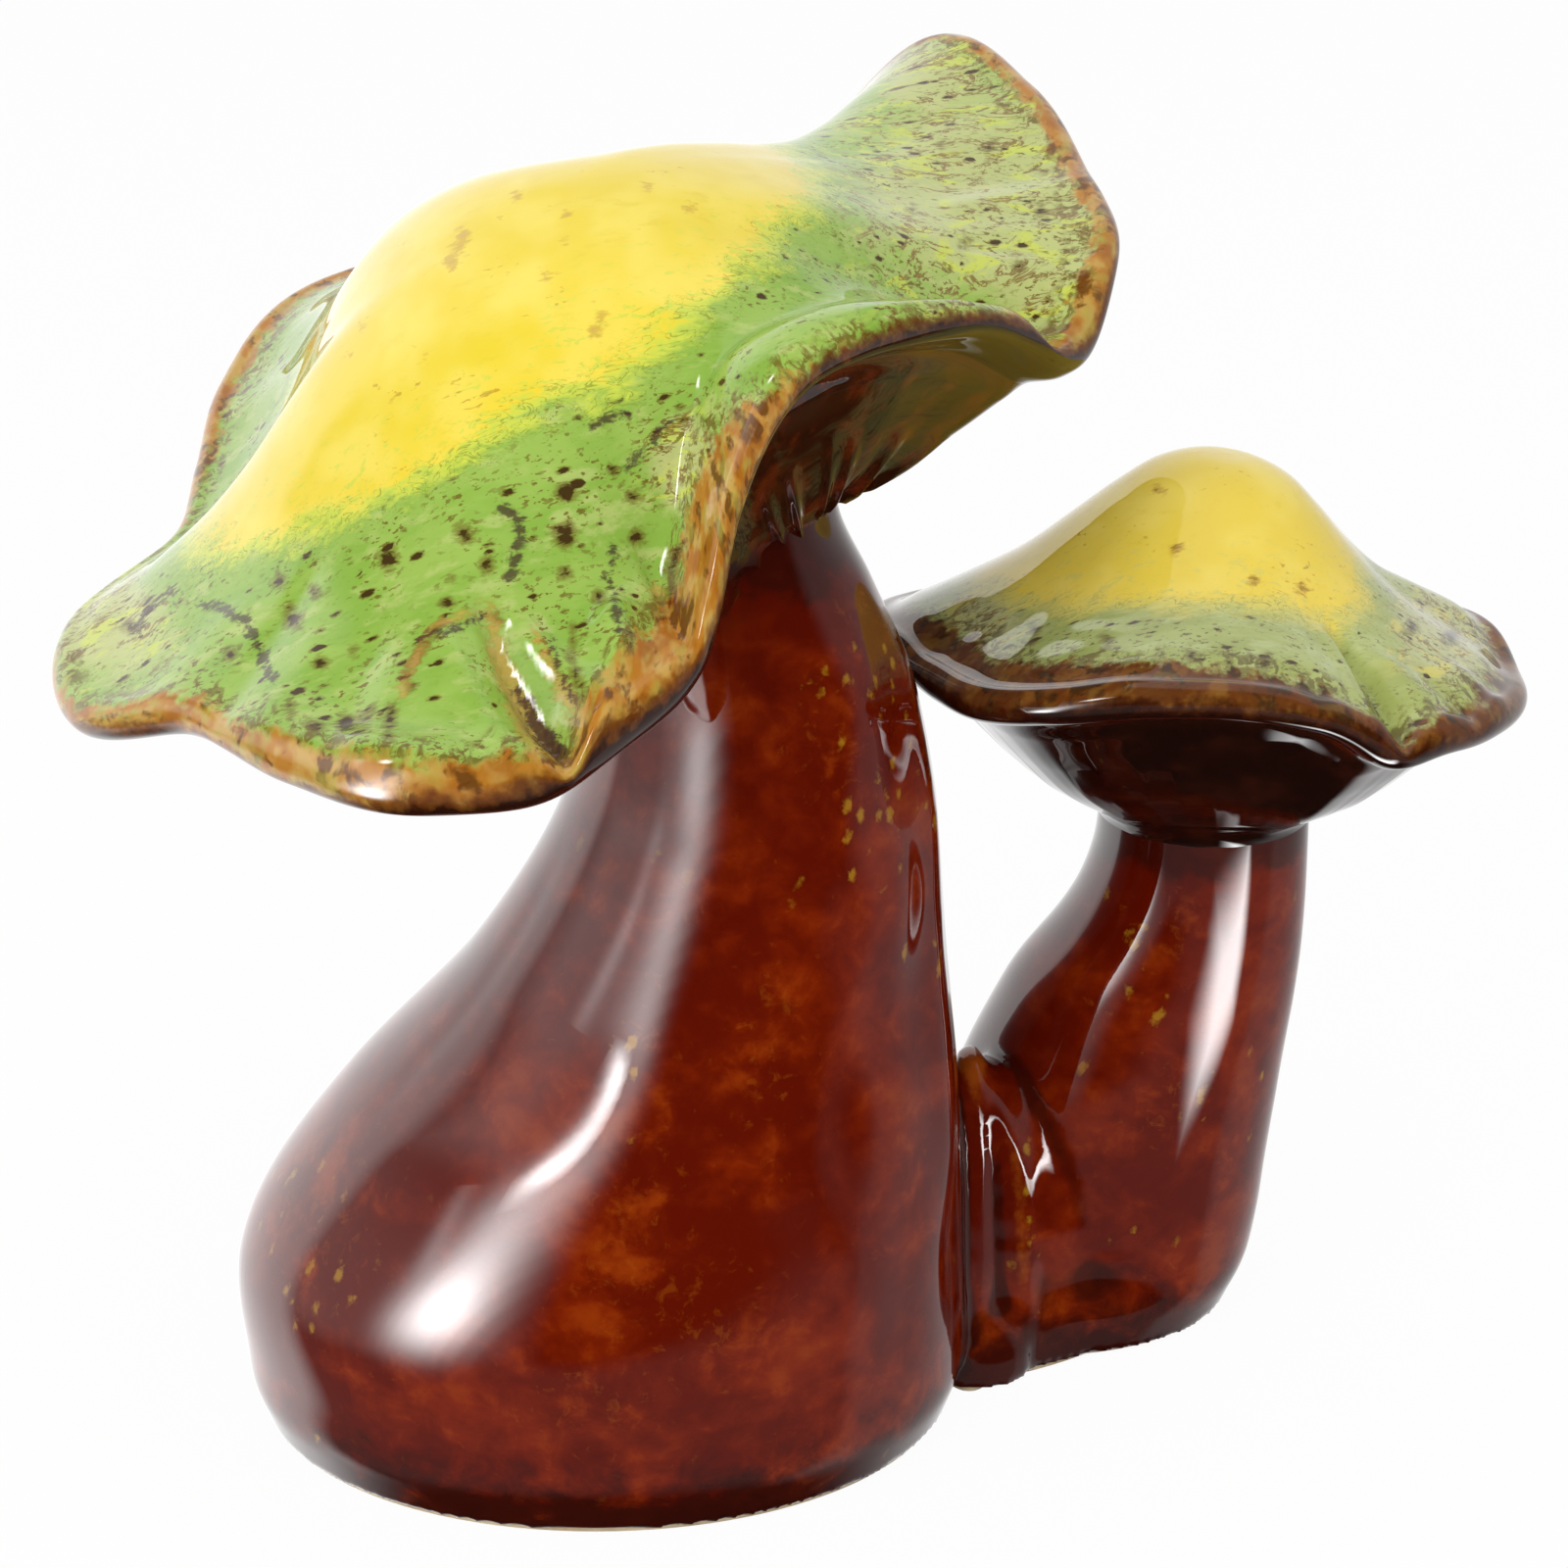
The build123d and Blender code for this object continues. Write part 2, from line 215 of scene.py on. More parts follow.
def seat(place, front, left):
    """The place and the turn of a cap or a neck, tilted to the front and then to the left."""
    turn = Matrix.Rotation(radians(front), 3, "X") @ Matrix.Rotation(radians(-left), 3, "Y")
    return np.array(place), np.array(turn)


def cap_keys(cap, angles):
    """The key rings of a cap from its top over the rim and the lip to inside the neck."""
    origin, turn = seat(cap["place"], cap["front"], cap["left"])
    mean = sum(cap["reaches"]) / len(cap["reaches"])
    steps = [(0.0, 1.0, 0.0, 0, 0)]
    steps += [(share, crown, swell, 0, 0) for share, crown, swell in cap["crown"]]
    steps += [(1, 0, 1, 0, 0)]
    steps += [(1, 0, 1, out, down) for out, down in rim_round]
    steps += [(lip_reach, 0, lip_reach, 0, 1)]
    reaches = round_value(cap["reaches"], angles)
    lifts = round_value(cap["lifts"], angles)
    heads = np.radians(angles)
    rings = []
    for share, crown, swell, out, down in steps:
        waved = min(share / lobe_start, 1) ** lobe_growth
        lobe = waved * reaches + (1 - waved) * mean
        across = share * lobe * cap["reach"] + out * cap["thickness"]
        up = crown * cap["rise"] + swell * lifts * cap["wave"] - down * cap["thickness"]
        for place, spread, depth, middle, length in cap["hollows"]:
            fade = (away(angles, place) / spread) ** 2 + ((share - middle) / length) ** 2
            up = up - depth * cap["thickness"] * np.exp(-fade)
        corner = np.stack([across * np.cos(heads), across * np.sin(heads), up], axis=-1)
        rings.append(origin + corner @ turn.T)
    lip = rings[-1]
    neck_origin, neck_turn = seat(cap["neck"], cap["neck_front"], cap["neck_left"])
    circle = np.stack([np.cos(heads), np.sin(heads), np.zeros_like(heads)], axis=-1)
    circle = circle * cap["neck_radius"]
    neck = neck_origin + circle @ neck_turn.T
    down = turn[:, 2] * -cap["sag"]
    for share, hang in gill_way:
        rings.append(lip * (1 - share) + neck * share + down * hang)
    rings.append(neck)
    for drop, width in cap["collar"]:
        rings.append(neck_origin + circle * width @ neck_turn.T - neck_turn[:, 2] * drop)
    return np.array(rings), len(steps) - 1


def smooth_rings(keys, count):
    """Rings evenly spaced along the smooth curves through the key rings, with their places."""
    steps = np.linalg.norm(np.diff(keys, axis=0), axis=-1).mean(axis=1)
    way = np.concatenate([[0], np.cumsum(steps)])
    slopes = np.empty_like(keys)
    chords = np.diff(keys, axis=0) / steps[:, None, None]
    slopes[0] = chords[0]
    slopes[-1] = chords[-1]
    before = steps[:-1, None, None]
    after = steps[1:, None, None]
    slopes[1:-1] = (chords[:-1] * after + chords[1:] * before) / (before + after)
    places = np.linspace(0, way[-1], count)
    picked = np.clip(np.searchsorted(way, places, side="right") - 1, 0, len(steps) - 1)
    share = ((places - way[picked]) / steps[picked])[:, None, None]
    width = steps[picked][:, None, None]
    points = (
        keys[picked] * (1 + 2 * share) * (1 - share) ** 2
        + keys[picked + 1] * share**2 * (3 - 2 * share)
        + slopes[picked] * width * share * (1 - share) ** 2
        - slopes[picked + 1] * width * share**2 * (1 - share)
    )
    return points, places, way


def select(*pieces):
    """Only these pieces are selected, and the last of them is active."""
    bpy.ops.object.select_all(action="DESELECT")
    for piece in pieces:
        piece.select_set(True)
        bpy.context.view_layer.objects.active = piece


def turned_ball(name, segments, ring_count):
    """A ball of the given mesh, with the ring and the direction of each of its corners."""
    cuts = 3
    select()
    bpy.ops.mesh.primitive_uv_sphere_add(
        segments=segments // (cuts + 1), ring_count=ring_count // (cuts + 1), radius=1
    )
    ball = bpy.context.active_object
    bpy.ops.object.mode_set(mode="EDIT")
    bpy.ops.mesh.select_all(action="SELECT")
    bpy.ops.mesh.subdivide(number_cuts=cuts)
    bpy.ops.object.mode_set(mode="OBJECT")
    ball.name = name
    ball.data.name = name
    corners = read_corners(ball, "co")
    corners /= np.linalg.norm(corners, axis=1)[:, None]
    polar = np.arccos(np.clip(corners[:, 2], -1, 1))
    ring = np.rint(polar / pi * ring_count).astype(int)
    angle = np.degrees(np.arctan2(corners[:, 1], corners[:, 0])) % 360
    column = np.rint(angle / 360 * segments).astype(int) % segments
    return ball, ring, column


def read_corners(piece, field):
    """The places or the normals of a piece's corners, as it holds them."""
    values = np.empty(len(piece.data.vertices) * 3)
    piece.data.vertices.foreach_get(field, values)
    return values.reshape(-1, 3)


def corners_of(piece):
    """The places of a piece's corners, in millimetres."""
    return read_corners(piece, "co") / METRE


def move_corners(piece, places):
    """Moves the corners of the piece to the places, in metres."""
    piece.data.vertices.foreach_set("co", places.ravel())
    piece.data.update()


def keep(piece, name, values):
    """Keeps a number or a vector for each corner of the piece, for its glaze to read."""
    values = np.asarray(values, np.float32)
    kind, field = ("FLOAT", "value") if values.ndim == 1 else ("FLOAT_VECTOR", "vector")
    attribute = piece.data.attributes.new(name, kind, "POINT")
    attribute.data.foreach_set(field, values.ravel())


def smooth_shade(piece, degrees):
    """Shades the piece smooth, but for edges sharper than the angle."""
    select(piece)
    bpy.ops.object.shade_smooth_by_angle(angle=radians(degrees))


# Rings of a cap's curves that its pieces pick theirs from, and hidden rings that close a shell
fine_rings = 1200
hidden_rings = 5
rim_rows = len(rim_round) + 1


def cap_curves(cap, segments):
    """The directions of a cap, its fine rings, and the places of these and of the key rings."""
    angles = 360 * np.arange(segments) / segments
    keys, lip_row = cap_keys(cap, angles)
    points, places, way = smooth_rings(keys, fine_rings)
    return angles, points, places, way, lip_row


def nearest_rings(places, seen):
    """The numbers of the fine rings nearest to the places that are seen."""
    last = len(places) - 1
    return np.clip(np.rint(seen / places[-1] * last).astype(int), 0, last)


def closing_rings(middle, edge):
    """Rings from the edge of a shell, itself left out, to the point that closes it."""
    return middle + (edge - middle) * np.linspace(1, 0, hidden_rings + 1)[1:, None, None]


def pulled_ball(name, rings):
    """A ball pulled to the rings, inside the frame's box, and the rings and columns it is from."""
    piece, ring, column = turned_ball(name, rings.shape[1], len(rings) - 1)
    low, high = (np.array(corner) for corner in cad_box)
    move_corners(piece, np.clip(rings[ring, column] * METRE, low, high))
    return piece, ring, column


def shape_crown(name, cap, segments, ring_count):
    """The crown of a cap: its rings from the top to the lip, then a hidden cone to the middle."""
    angles, points, places, way, lip_row = cap_curves(cap, segments)
    rim_place = way[lip_row - rim_rows]
    share_rows = [0.0] + [row[0] for row in cap["crown"]] + [1.0] * rim_rows + [lip_reach]
    share_rows += [lip_reach * (1 - share) for share, hang in gill_way] + [0.0, 0.0, 0.0]
    shares = np.interp(places, way, share_rows)
    # Four fifths of the rings lie on the dome, and the rest on the rim
    seen = np.interp(
        np.linspace(0, 1, ring_count - hidden_rings + 1),
        [0, 0.80, 1],
        [0, rim_place - 1.0, way[lip_row]],
    )
    index = nearest_rings(places, seen)
    shell = points[index].copy()
    share = shares[index][:, None] * np.ones(segments)
    past_rim = (seen - rim_place)[:, None] * np.ones(segments)
    lobe = round_value(cap["reaches"], angles)[None, :]
    heads = np.radians(angles)[None, :]
    below = np.clip(1 - np.clip(past_rim, 0, None) / cap["thickness"], 0, 1)
    for start_angle, rim_angle, spread, depth, start, end in cap["flutes"]:
        way_out = np.clip((share - start) / (1 - start), 0, 1)
        turned = start_angle + (rim_angle - start_angle) * way_out
        fade = np.exp(-((away(angles[None, :], turned) / spread) ** 2))
        fade *= smoothly(start, start + 0.1, share) * (1 - smoothly(end, end + 0.08, share))
        shell[..., 2] -= depth * fade * below
    full = np.concatenate([shell, closing_rings(np.array(cap["place"]), shell[-1])])
    piece, ring, column = pulled_ball(name, full)

    everywhere = np.ones_like(share)
    flow = [np.cos(heads) * cap["reach"], np.sin(heads) * cap["reach"], seen[:, None]]
    values = {
        "to_rim": np.where(past_rim > 0, -past_rim, (1 - share) * cap["reach"] * lobe),
        "to_yellow": (round_value(cap["yellow"], angles) - share) * cap["reach"] * lobe,
        "band": round_value(cap["band"], angles) * everywhere,
        "scorch": round_value(cap["scorch"], angles) * everywhere,
        "flow": np.stack([part * everywhere for part in flow], axis=-1) * METRE,
    }
    rows = np.minimum(np.arange(len(full)), len(share) - 1)
    for value_name, value in values.items():
        keep(piece, value_name, value[rows][ring, column])
    smooth_shade(piece, 40)
    return piece


def shape_underside(name, cap, segments, ring_count, gills):
    """The underside of a cap: a hidden cone to the lip, the gills, and a plug inside the neck."""
    angles, points, places, way, lip_row = cap_curves(cap, segments)
    turn = seat(cap["place"], cap["front"], cap["left"])[1]
    lip_place = way[lip_row]
    neck_place = way[lip_row + len(gill_way) + 1]
    seen = np.linspace(lip_place, way[-1], ring_count - 2 * hidden_rings + 1)
    shell = points[nearest_rings(places, seen)].copy()
    along = np.clip((seen - lip_place) / (neck_place - lip_place), 0, 1)[:, None]
    ribs = gills(angles[None, :], along)
    shell -= ribs[..., None] * turn[:, 2]
    before_neck = np.clip(neck_place - seen, 0, None)
    fillet = cap["neck_fillet"]
    shell[..., 2] -= fillet * np.exp(-before_neck / (0.6 * fillet))[:, None]
    cone = closing_rings(np.array(cap["place"]), shell[0])[::-1]
    plug = closing_rings(np.array(cap["neck"]) - np.array([0, 0, 3.0]), shell[-1])
    piece, ring, column = pulled_ball(name, np.concatenate([cone, shell, plug]))
    along_rows = np.concatenate([np.zeros(hidden_rings), along[:, 0], np.ones(hidden_rings)])
    keep(piece, "along", along_rows[ring])
    keep(piece, "rib", np.pad(ribs, ((hidden_rings, hidden_rings), (0, 0)))[ring, column])
    smooth_shade(piece, 60)
    return piece


def thin_ribs(count, height, start, seed):
    """Gills as thin leaves that rise between the lip and the neck, at slightly uneven places."""
    pitch = 360 / count

    def rise(angles, along):
        total = np.zeros(np.broadcast_shapes(angles.shape, along.shape))
        for leaf in range(count):
            stir = [noise.noise(Vector((leaf * 1.7, seed, step * 3.1))) for step in range(3)]
            middle = leaf * pitch + pitch * 0.45 * stir[0]
            from_here = start + 0.16 * stir[1]
            tall = height * (0.75 + 0.6 * stir[2])
            width = 1.3 + 0.9 * (1 - along)
            climb = np.clip((along - from_here) / (0.92 - from_here), 0, 1)
            end = np.clip((1.0 - along) / 0.10, 0, 1)
            body = climb ** 0.7 * end * tall
            total = np.maximum(total, body * np.exp(-((away(angles, middle) / width) ** 2)))
        return total

    return rise


def faint_ribs(count, height, seed):
    """Low round ribs under the small cap, which fade before the neck."""

    def rise(angles, along):
        sway = 0.8 * np.sin(np.radians(angles * 3 + seed))
        swing = 0.5 + 0.5 * np.cos(np.radians(angles * count) + sway)
        return height * swing**3 * np.sin(np.clip(along, 0, 1) * pi) ** 1.2

    return rise


# The stems, as in the part itself: their foot, height, sway and widest half sizes, and at levels
# from 0 to 1 the share of the sway in x and y and of the half width and depth. Beside these stand
# the extra glaze round the foot, and the rings and corners of the mesh
large_stem = {
    "foot": (-19.0, 0.0), "height": 99.0, "sway": (16.0, 0.0), "half": (38.0, 33.0),
    "foot_skin": 0.35, "rings": 46, "corners": 180,
    "rows": [
        (0.00, 0.00, 0.0, 0.947, 0.894), (0.06, 0.00, 0.0, 1.000, 0.970),
        (0.20, -0.01, 0.0, 1.000, 1.000), (0.36, 0.28, 0.0, 0.855, 0.879),
        (0.52, 0.69, 0.0, 0.645, 0.697), (0.69, 0.97, 0.0, 0.495, 0.576),
        (0.83, 0.99, 0.0, 0.413, 0.500), (0.93, 0.84, 0.0, 0.363, 0.424),
        (1.00, 0.69, 0.0, 0.342, 0.394),
    ],
}
small_stem = {
    "foot": (29.0, 24.0), "height": 60.5, "sway": (16.3, 4.0), "half": (20.0, 17.0),
    "foot_skin": 0.85, "rings": 30, "corners": 120,
    "rows": [
        (0.00, 0.00, 0.00, 1.00, 1.00), (0.13, 0.19, -0.12, 1.03, 1.00),
        (0.32, 0.38, -0.31, 0.94, 0.91), (0.51, 0.545, -0.50, 0.865, 0.853),
        (0.67, 0.72, -0.69, 0.775, 0.765), (0.80, 0.905, -0.84, 0.64, 0.694),
        (0.91, 0.985, -0.95, 0.572, 0.66), (1.00, 1.00, -1.00, 0.555, 0.653),
    ],
}
# How thick the glaze lies over the clay, how far above the table it starts, and how far a stem
# runs on inside its cap
glaze_skin = 0.25
glaze_start = 0.6
neck_overlap = 2.0


def level_value(rows, column, level):
    """A stem's table at a level from 0 to 1, along a smooth curve."""
    level = min(level, 1.0)
    heights = [row[0] for row in rows]
    upper = next(place for place in range(1, len(rows)) if level <= heights[place])
    near = (min(max(place, 0), len(rows) - 1) for place in range(upper - 2, upper + 2))
    share = (level - heights[upper - 1]) / (heights[upper] - heights[upper - 1])
    return curve_between(*(rows[place][column] for place in near), share)


def grow(name, sections, corners):
    """A closed body drawn up from its foot, one ring at a time, as clay is pulled.

    A section has the ring's middle, x, y and z, and its two half sizes.
    """
    x, y, z, wide, deep = (value * METRE for value in sections[0])
    select()
    bpy.ops.mesh.primitive_circle_add(
        vertices=corners, radius=1, fill_type="NGON", location=(x, y, z)
    )
    piece = bpy.context.active_object
    piece.name = name
    piece.scale = (wide, deep, 1)
    bpy.ops.object.transform_apply(location=True, rotation=True, scale=True)
    bpy.ops.object.mode_set(mode="EDIT")
    bpy.ops.mesh.select_all(action="SELECT")
    for section in sections[1:]:
        new_x, new_y, new_z, new_wide, new_deep = (value * METRE for value in section)
        bpy.ops.mesh.extrude_region_move(
            TRANSFORM_OT_translate={"value": (new_x - x, new_y - y, new_z - z)}
        )
        bpy.ops.transform.resize(
            value=(new_wide / wide, new_deep / deep, 1), center_override=(new_x, new_y, new_z)
        )
        x, y, z, wide, deep = new_x, new_y, new_z, new_wide, new_deep
    bpy.ops.mesh.select_all(action="SELECT")
    bpy.ops.mesh.normals_make_consistent(inside=False)
    bpy.ops.object.mode_set(mode="OBJECT")
    return piece


def grow_stem(name, stem):
    """A stem drawn up from just above the table to a little above its neck."""
    rows = stem["rows"]
    top = stem["height"] + neck_overlap
    sections = []
    for step in range(stem["rings"] + 1):
        z = glaze_start + (top - glaze_start) * step / stem["rings"]
        level = z / stem["height"]
        skin = glaze_skin + stem["foot_skin"] * (1 - smoothly(3.5, 9, z))
        sway_x, sway_y, wide, deep = (level_value(rows, column, level) for column in (1, 2, 3, 4))
        x = stem["foot"][0] + stem["sway"][0] * sway_x
        y = stem["foot"][1] + stem["sway"][1] * sway_y
        half_width, half_depth = stem["half"]
        sections.append((x, y, z, half_width * wide + skin, half_depth * deep + skin))
    return grow(name, sections, stem["corners"])


# Rolls and presses along the large stem: their direction at the foot and at the neck, their half
# width in degrees, how far they stand out, and the heights between which they run
large_stem_rolls = [
    (347.0, 343.0, 5.0, 0.6, 22, 96),
    (334.0, 330.0, 9.0, -0.35, 20, 94),
    (300.0, 280.0, 13.0, 0.5, 30, 84),
    (276.0, 246.0, 10.0, 0.20, 8, 62),
    (258.0, 226.0, 15.0, -0.12, 12, 60),
    (205.0, 203.0, 2.4, -0.35, 34, 70),
]
# Soft unevenness all over it, and ripples on its right flank: their paces across and up, how far
# they stand out, and the direction and half width of the flank
uneven_pace = (0.055, 0.035)
uneven_height = 0.35
ripple_pace = (0.10, 0.075)
ripple_height = 0.75
ripple_seed = 7
ripple_place = 318
ripple_spread = 24


def roll_stem(piece, stem, rolls):
    """Presses the rolls and the unevenness into a stem."""
    corners = corners_of(piece)
    height = corners[:, 2]
    levels = np.clip(height / stem["height"], 0, 1)
    foot_x, sway_x = stem["foot"][0], stem["sway"][0]
    centre = np.array([foot_x + sway_x * level_value(stem["rows"], 1, level) for level in levels])
    out_x = corners[:, 0] - centre
    out_y = corners[:, 1]
    angles = np.degrees(np.arctan2(out_y, out_x)) % 360
    reach = np.hypot(out_x, out_y)
    lift = np.zeros(len(corners))
    for foot, neck, spread, tall, low, high in rolls:
        place = foot + (neck - foot) * levels
        fade = smoothly(low, low + 12, height) * (1 - smoothly(high - 12, high, height))
        lift += tall * fade * np.exp(-((away(angles, place) / spread) ** 2))

    def stir(pace, seed):
        across, up = pace
        places = (Vector((x * across, y * across, z * up + seed)) for x, y, z in corners)
        return np.array([noise.noise(place) for place in places])

    lift += uneven_height * stir(uneven_pace, 0) * smoothly(4, 16, height)
    flank = np.exp(-((away(angles, ripple_place) / ripple_spread) ** 2))
    lift += ripple_height * stir(ripple_pace, ripple_seed) * smoothly(8, 20, height) * flank
    share = np.where(reach > 1, lift / np.maximum(reach, 1), 0)
    corners[:, 0] += out_x * share
    corners[:, 1] += out_y * share
    move_corners(piece, corners * METRE)


def press(piece, place, spread, depth):
    """Presses a hollow into the piece round a place, along its normals."""
    corners = corners_of(piece)
    fade = np.exp(-(((corners - np.array(place)) / np.array(spread)) ** 2).sum(axis=1))
    fade *= smoothly(4.4, 7.0, corners[:, 2])
    corners -= read_corners(piece, "normal") * (depth * fade)[:, None]
    move_corners(piece, corners * METRE)


def height_group(piece, name, low, high):
    """A vertex group that takes hold gradually between two heights."""
    group = piece.vertex_groups.new(name=name)
    steps = 12
    weights = np.rint(smoothly(low, high, corners_of(piece)[:, 2]) * steps).astype(int)
    for weight in range(steps + 1):
        group.add(np.nonzero(weights == weight)[0].tolist(), weight / steps, "REPLACE")


def crest_values(piece, passes):
    """How much each corner stands out from its neighbours: above zero on crests."""
    corners = corners_of(piece)
    edges = np.empty(len(piece.data.edges) * 2, int)
    piece.data.edges.foreach_get("vertices", edges)
    edges = edges.reshape(-1, 2)
    count = np.bincount(edges.ravel(), minlength=len(corners))[:, None]

    def mean_of_neighbours(values):
        total = np.zeros_like(values)
        for column in range(values.shape[1]):
            total[:, column] = np.bincount(
                edges[:, 0], values[edges[:, 1], column], len(corners)
            ) + np.bincount(edges[:, 1], values[edges[:, 0], column], len(corners))
        return total / count

    crest = (corners - mean_of_neighbours(corners)) * read_corners(piece, "normal")
    crest = crest.sum(axis=1)[:, None]
    for turn in range(passes):
        crest = mean_of_neighbours(crest)
    return crest[:, 0]


# The folds in the crook: their spread in x and y, half width, reach and depth, and the shares of
# these along their way up
folds = {
    "fold_left": (0.00, -1.00, 0.95, 1.00, 5.4),
    "fold_middle": (0.54, -0.45, 1.05, 0.94, 6.2),
    "fold_right": (1.00, -0.10, 1.50, 0.84, 5.2),
}
fold_way = [
    (0.00, 1.00, 1.00, 1.00), (0.15, 0.985, 1.01, 0.98), (0.30, 0.96, 1.00, 0.95),
    (0.50, 0.87, 0.91, 0.84), (0.70, 0.75, 0.80, 0.70), (0.86, 0.48, 0.62, 0.56),
    (1.00, 0.15, 0.40, 0.40),
]
# The middle of the crook, and how far the folds spread, their half width, foot and height
crook = (20.0, 11.0)
fold_spread = (10.5, 5.0)
fold_half_width = 3.2
fold_foot = 3.5
fold_height = 32.0
# What fills the crook behind the folds, the web between the feet and the toe below the folds, as
# rings with their middle in x, y and z and their half sizes. The web's rings have only a height and
# half sizes, since it is put in its place and turned as a whole
filling = [
    (24.6, 11.0, glaze_start, 11.5, 7.4), (24.6, 11.0, 6.0, 11.4, 7.4),
    (24.6, 11.2, 14.0, 10.8, 7.0), (24.0, 11.4, 21.0, 9.2, 6.2),
    (22.6, 11.6, 27.0, 6.6, 5.0), (21.0, 12.0, 32.5, 3.4, 3.4),
]
web = [
    (glaze_start, 18.6, 8.6), (4.2, 18.6, 8.6), (6.0, 16.5, 7.4), (8.0, 13.0, 5.5),
    (10.0, 9.0, 3.5),
]
web_place = (27.4, 13.0)
web_turn = 35.0
toe = [(20.6, 3.6, glaze_start, 6.4, 5.2), (20.6, 3.7, 4.4, 6.4, 5.1), (20.8, 5.0, 7.5, 5.2, 3.9)]
# The grain in which they are luted together, how often the joins are wiped and between which
# heights the wiping sets in, and the hollow pressed above the web
root_grain = 0.62
wipes = 26
wiped_from = (2.6, 5.2)
hollow_place = (34.0, 7.0, 9.5)
hollow_spread = (8.0, 8.0, 3.6)
hollow_depth = 1.3


def grow_fold(name, spread_x, spread_y, width, reach, depth):
    """One roll of clay that hangs from the crook."""
    sections = [
        (
            crook[0] + fold_spread[0] * spread_x * spread,
            crook[1] + fold_spread[1] * spread_y * spread,
            glaze_start if share == 0 else fold_foot + fold_height * reach * share,
            fold_half_width * width * across + glaze_skin,
            depth * along + glaze_skin,
        )
        for share, spread, across, along in fold_way
    ]
    return grow(name, sections, 48)


def shape_root():
    """Both stems, the folds and the web between them, drawn up one by one and luted together."""
    large_body = grow_stem("large_stem_body", large_stem)
    roll_stem(large_body, large_stem, large_stem_rolls)
    pieces = [grow_stem("small_stem_body", small_stem)]
    pieces += [grow_fold(name, *sizes) for name, sizes in folds.items()]
    pieces.append(grow("filling_body", filling, 64))
    web_body = grow("web_body", [(0, 0, *row) for row in web], 64)
    web_body.rotation_euler = (0, 0, radians(web_turn))
    web_body.location = (web_place[0] * METRE, web_place[1] * METRE, 0)
    select(web_body)
    bpy.ops.object.transform_apply(location=True, rotation=True, scale=True)
    pieces += [web_body, grow("toe_body", toe, 40)]
    select(*pieces, large_body)
    bpy.ops.object.join()
    root = bpy.context.active_object
    root.name = "root_of_stems"
    root.data.name = "root_of_stems"
    remesh = root.modifiers.new("luted", "REMESH")
    remesh.mode = "VOXEL"
    remesh.voxel_size = root_grain * METRE
    bpy.ops.object.modifier_apply(modifier=remesh.name)
    height_group(root, "above_the_foot", *wiped_from)
    wipe = root.modifiers.new("wiped", "SMOOTH")
    wipe.factor = 0.5
    wipe.iterations = wipes
    wipe.vertex_group = "above_the_foot"
    bpy.ops.object.modifier_apply(modifier=wipe.name)
    press(root, hollow_place, hollow_spread, hollow_depth)
    keep(root, "crest", crest_values(root, 3))
    corners = corners_of(root)
    # Where painted shade falls below the caps: the small stem's neck and the top of the large stem
    shade_below_small_cap = smoothly(50.0, 60.0, corners[:, 2]) * smoothly(24.0, 28.0, corners[:, 0])
    keep(root, "neck", np.maximum(shade_below_small_cap, smoothly(84.0, 100.0, corners[:, 2])))
    smooth_shade(root, 60)
    return root


large_crown = shape_crown("large_crown", large_cap, 480, 196)
large_underside = shape_underside(
    "large_underside", large_cap, 480, 148, thin_ribs(34, 2.4, 0.40, 2.0)
)
small_crown = shape_crown("small_crown", small_cap, 400, 160)
small_underside = shape_underside("small_underside", small_cap, 400, 100, faint_ribs(36, 0.07, 1.0))
root = shape_root()

for piece in (large_crown, large_underside, small_crown, small_underside, root):
    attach(piece, "root")
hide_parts("large_cap")
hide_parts("large_gills")
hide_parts("small_cap")
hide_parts("small_gills")
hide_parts("large_stem", "small_stem", "root_fold_left", "root_fold_middle", "root_fold_right")


class Wire:
    """A value between the nodes of a glaze, which sums and products can be written with."""

    def __init__(self, glaze, socket):
        self.glaze = glaze
        self.socket = socket

    def __add__(self, other):
        return self.glaze.maths("ADD", self, other)

    def __radd__(self, other):
        return self.glaze.maths("ADD", other, self)

    def __sub__(self, other):
        return self.glaze.maths("SUBTRACT", self, other)

    def __rsub__(self, other):
        return self.glaze.maths("SUBTRACT", other, self)

    def __mul__(self, other):
        return self.glaze.maths("MULTIPLY", self, other)

    def __rmul__(self, other):
        return self.glaze.maths("MULTIPLY", other, self)

    def __truediv__(self, other):
        return self.glaze.maths("DIVIDE", self, other)


white = (1, 1, 1, 1)


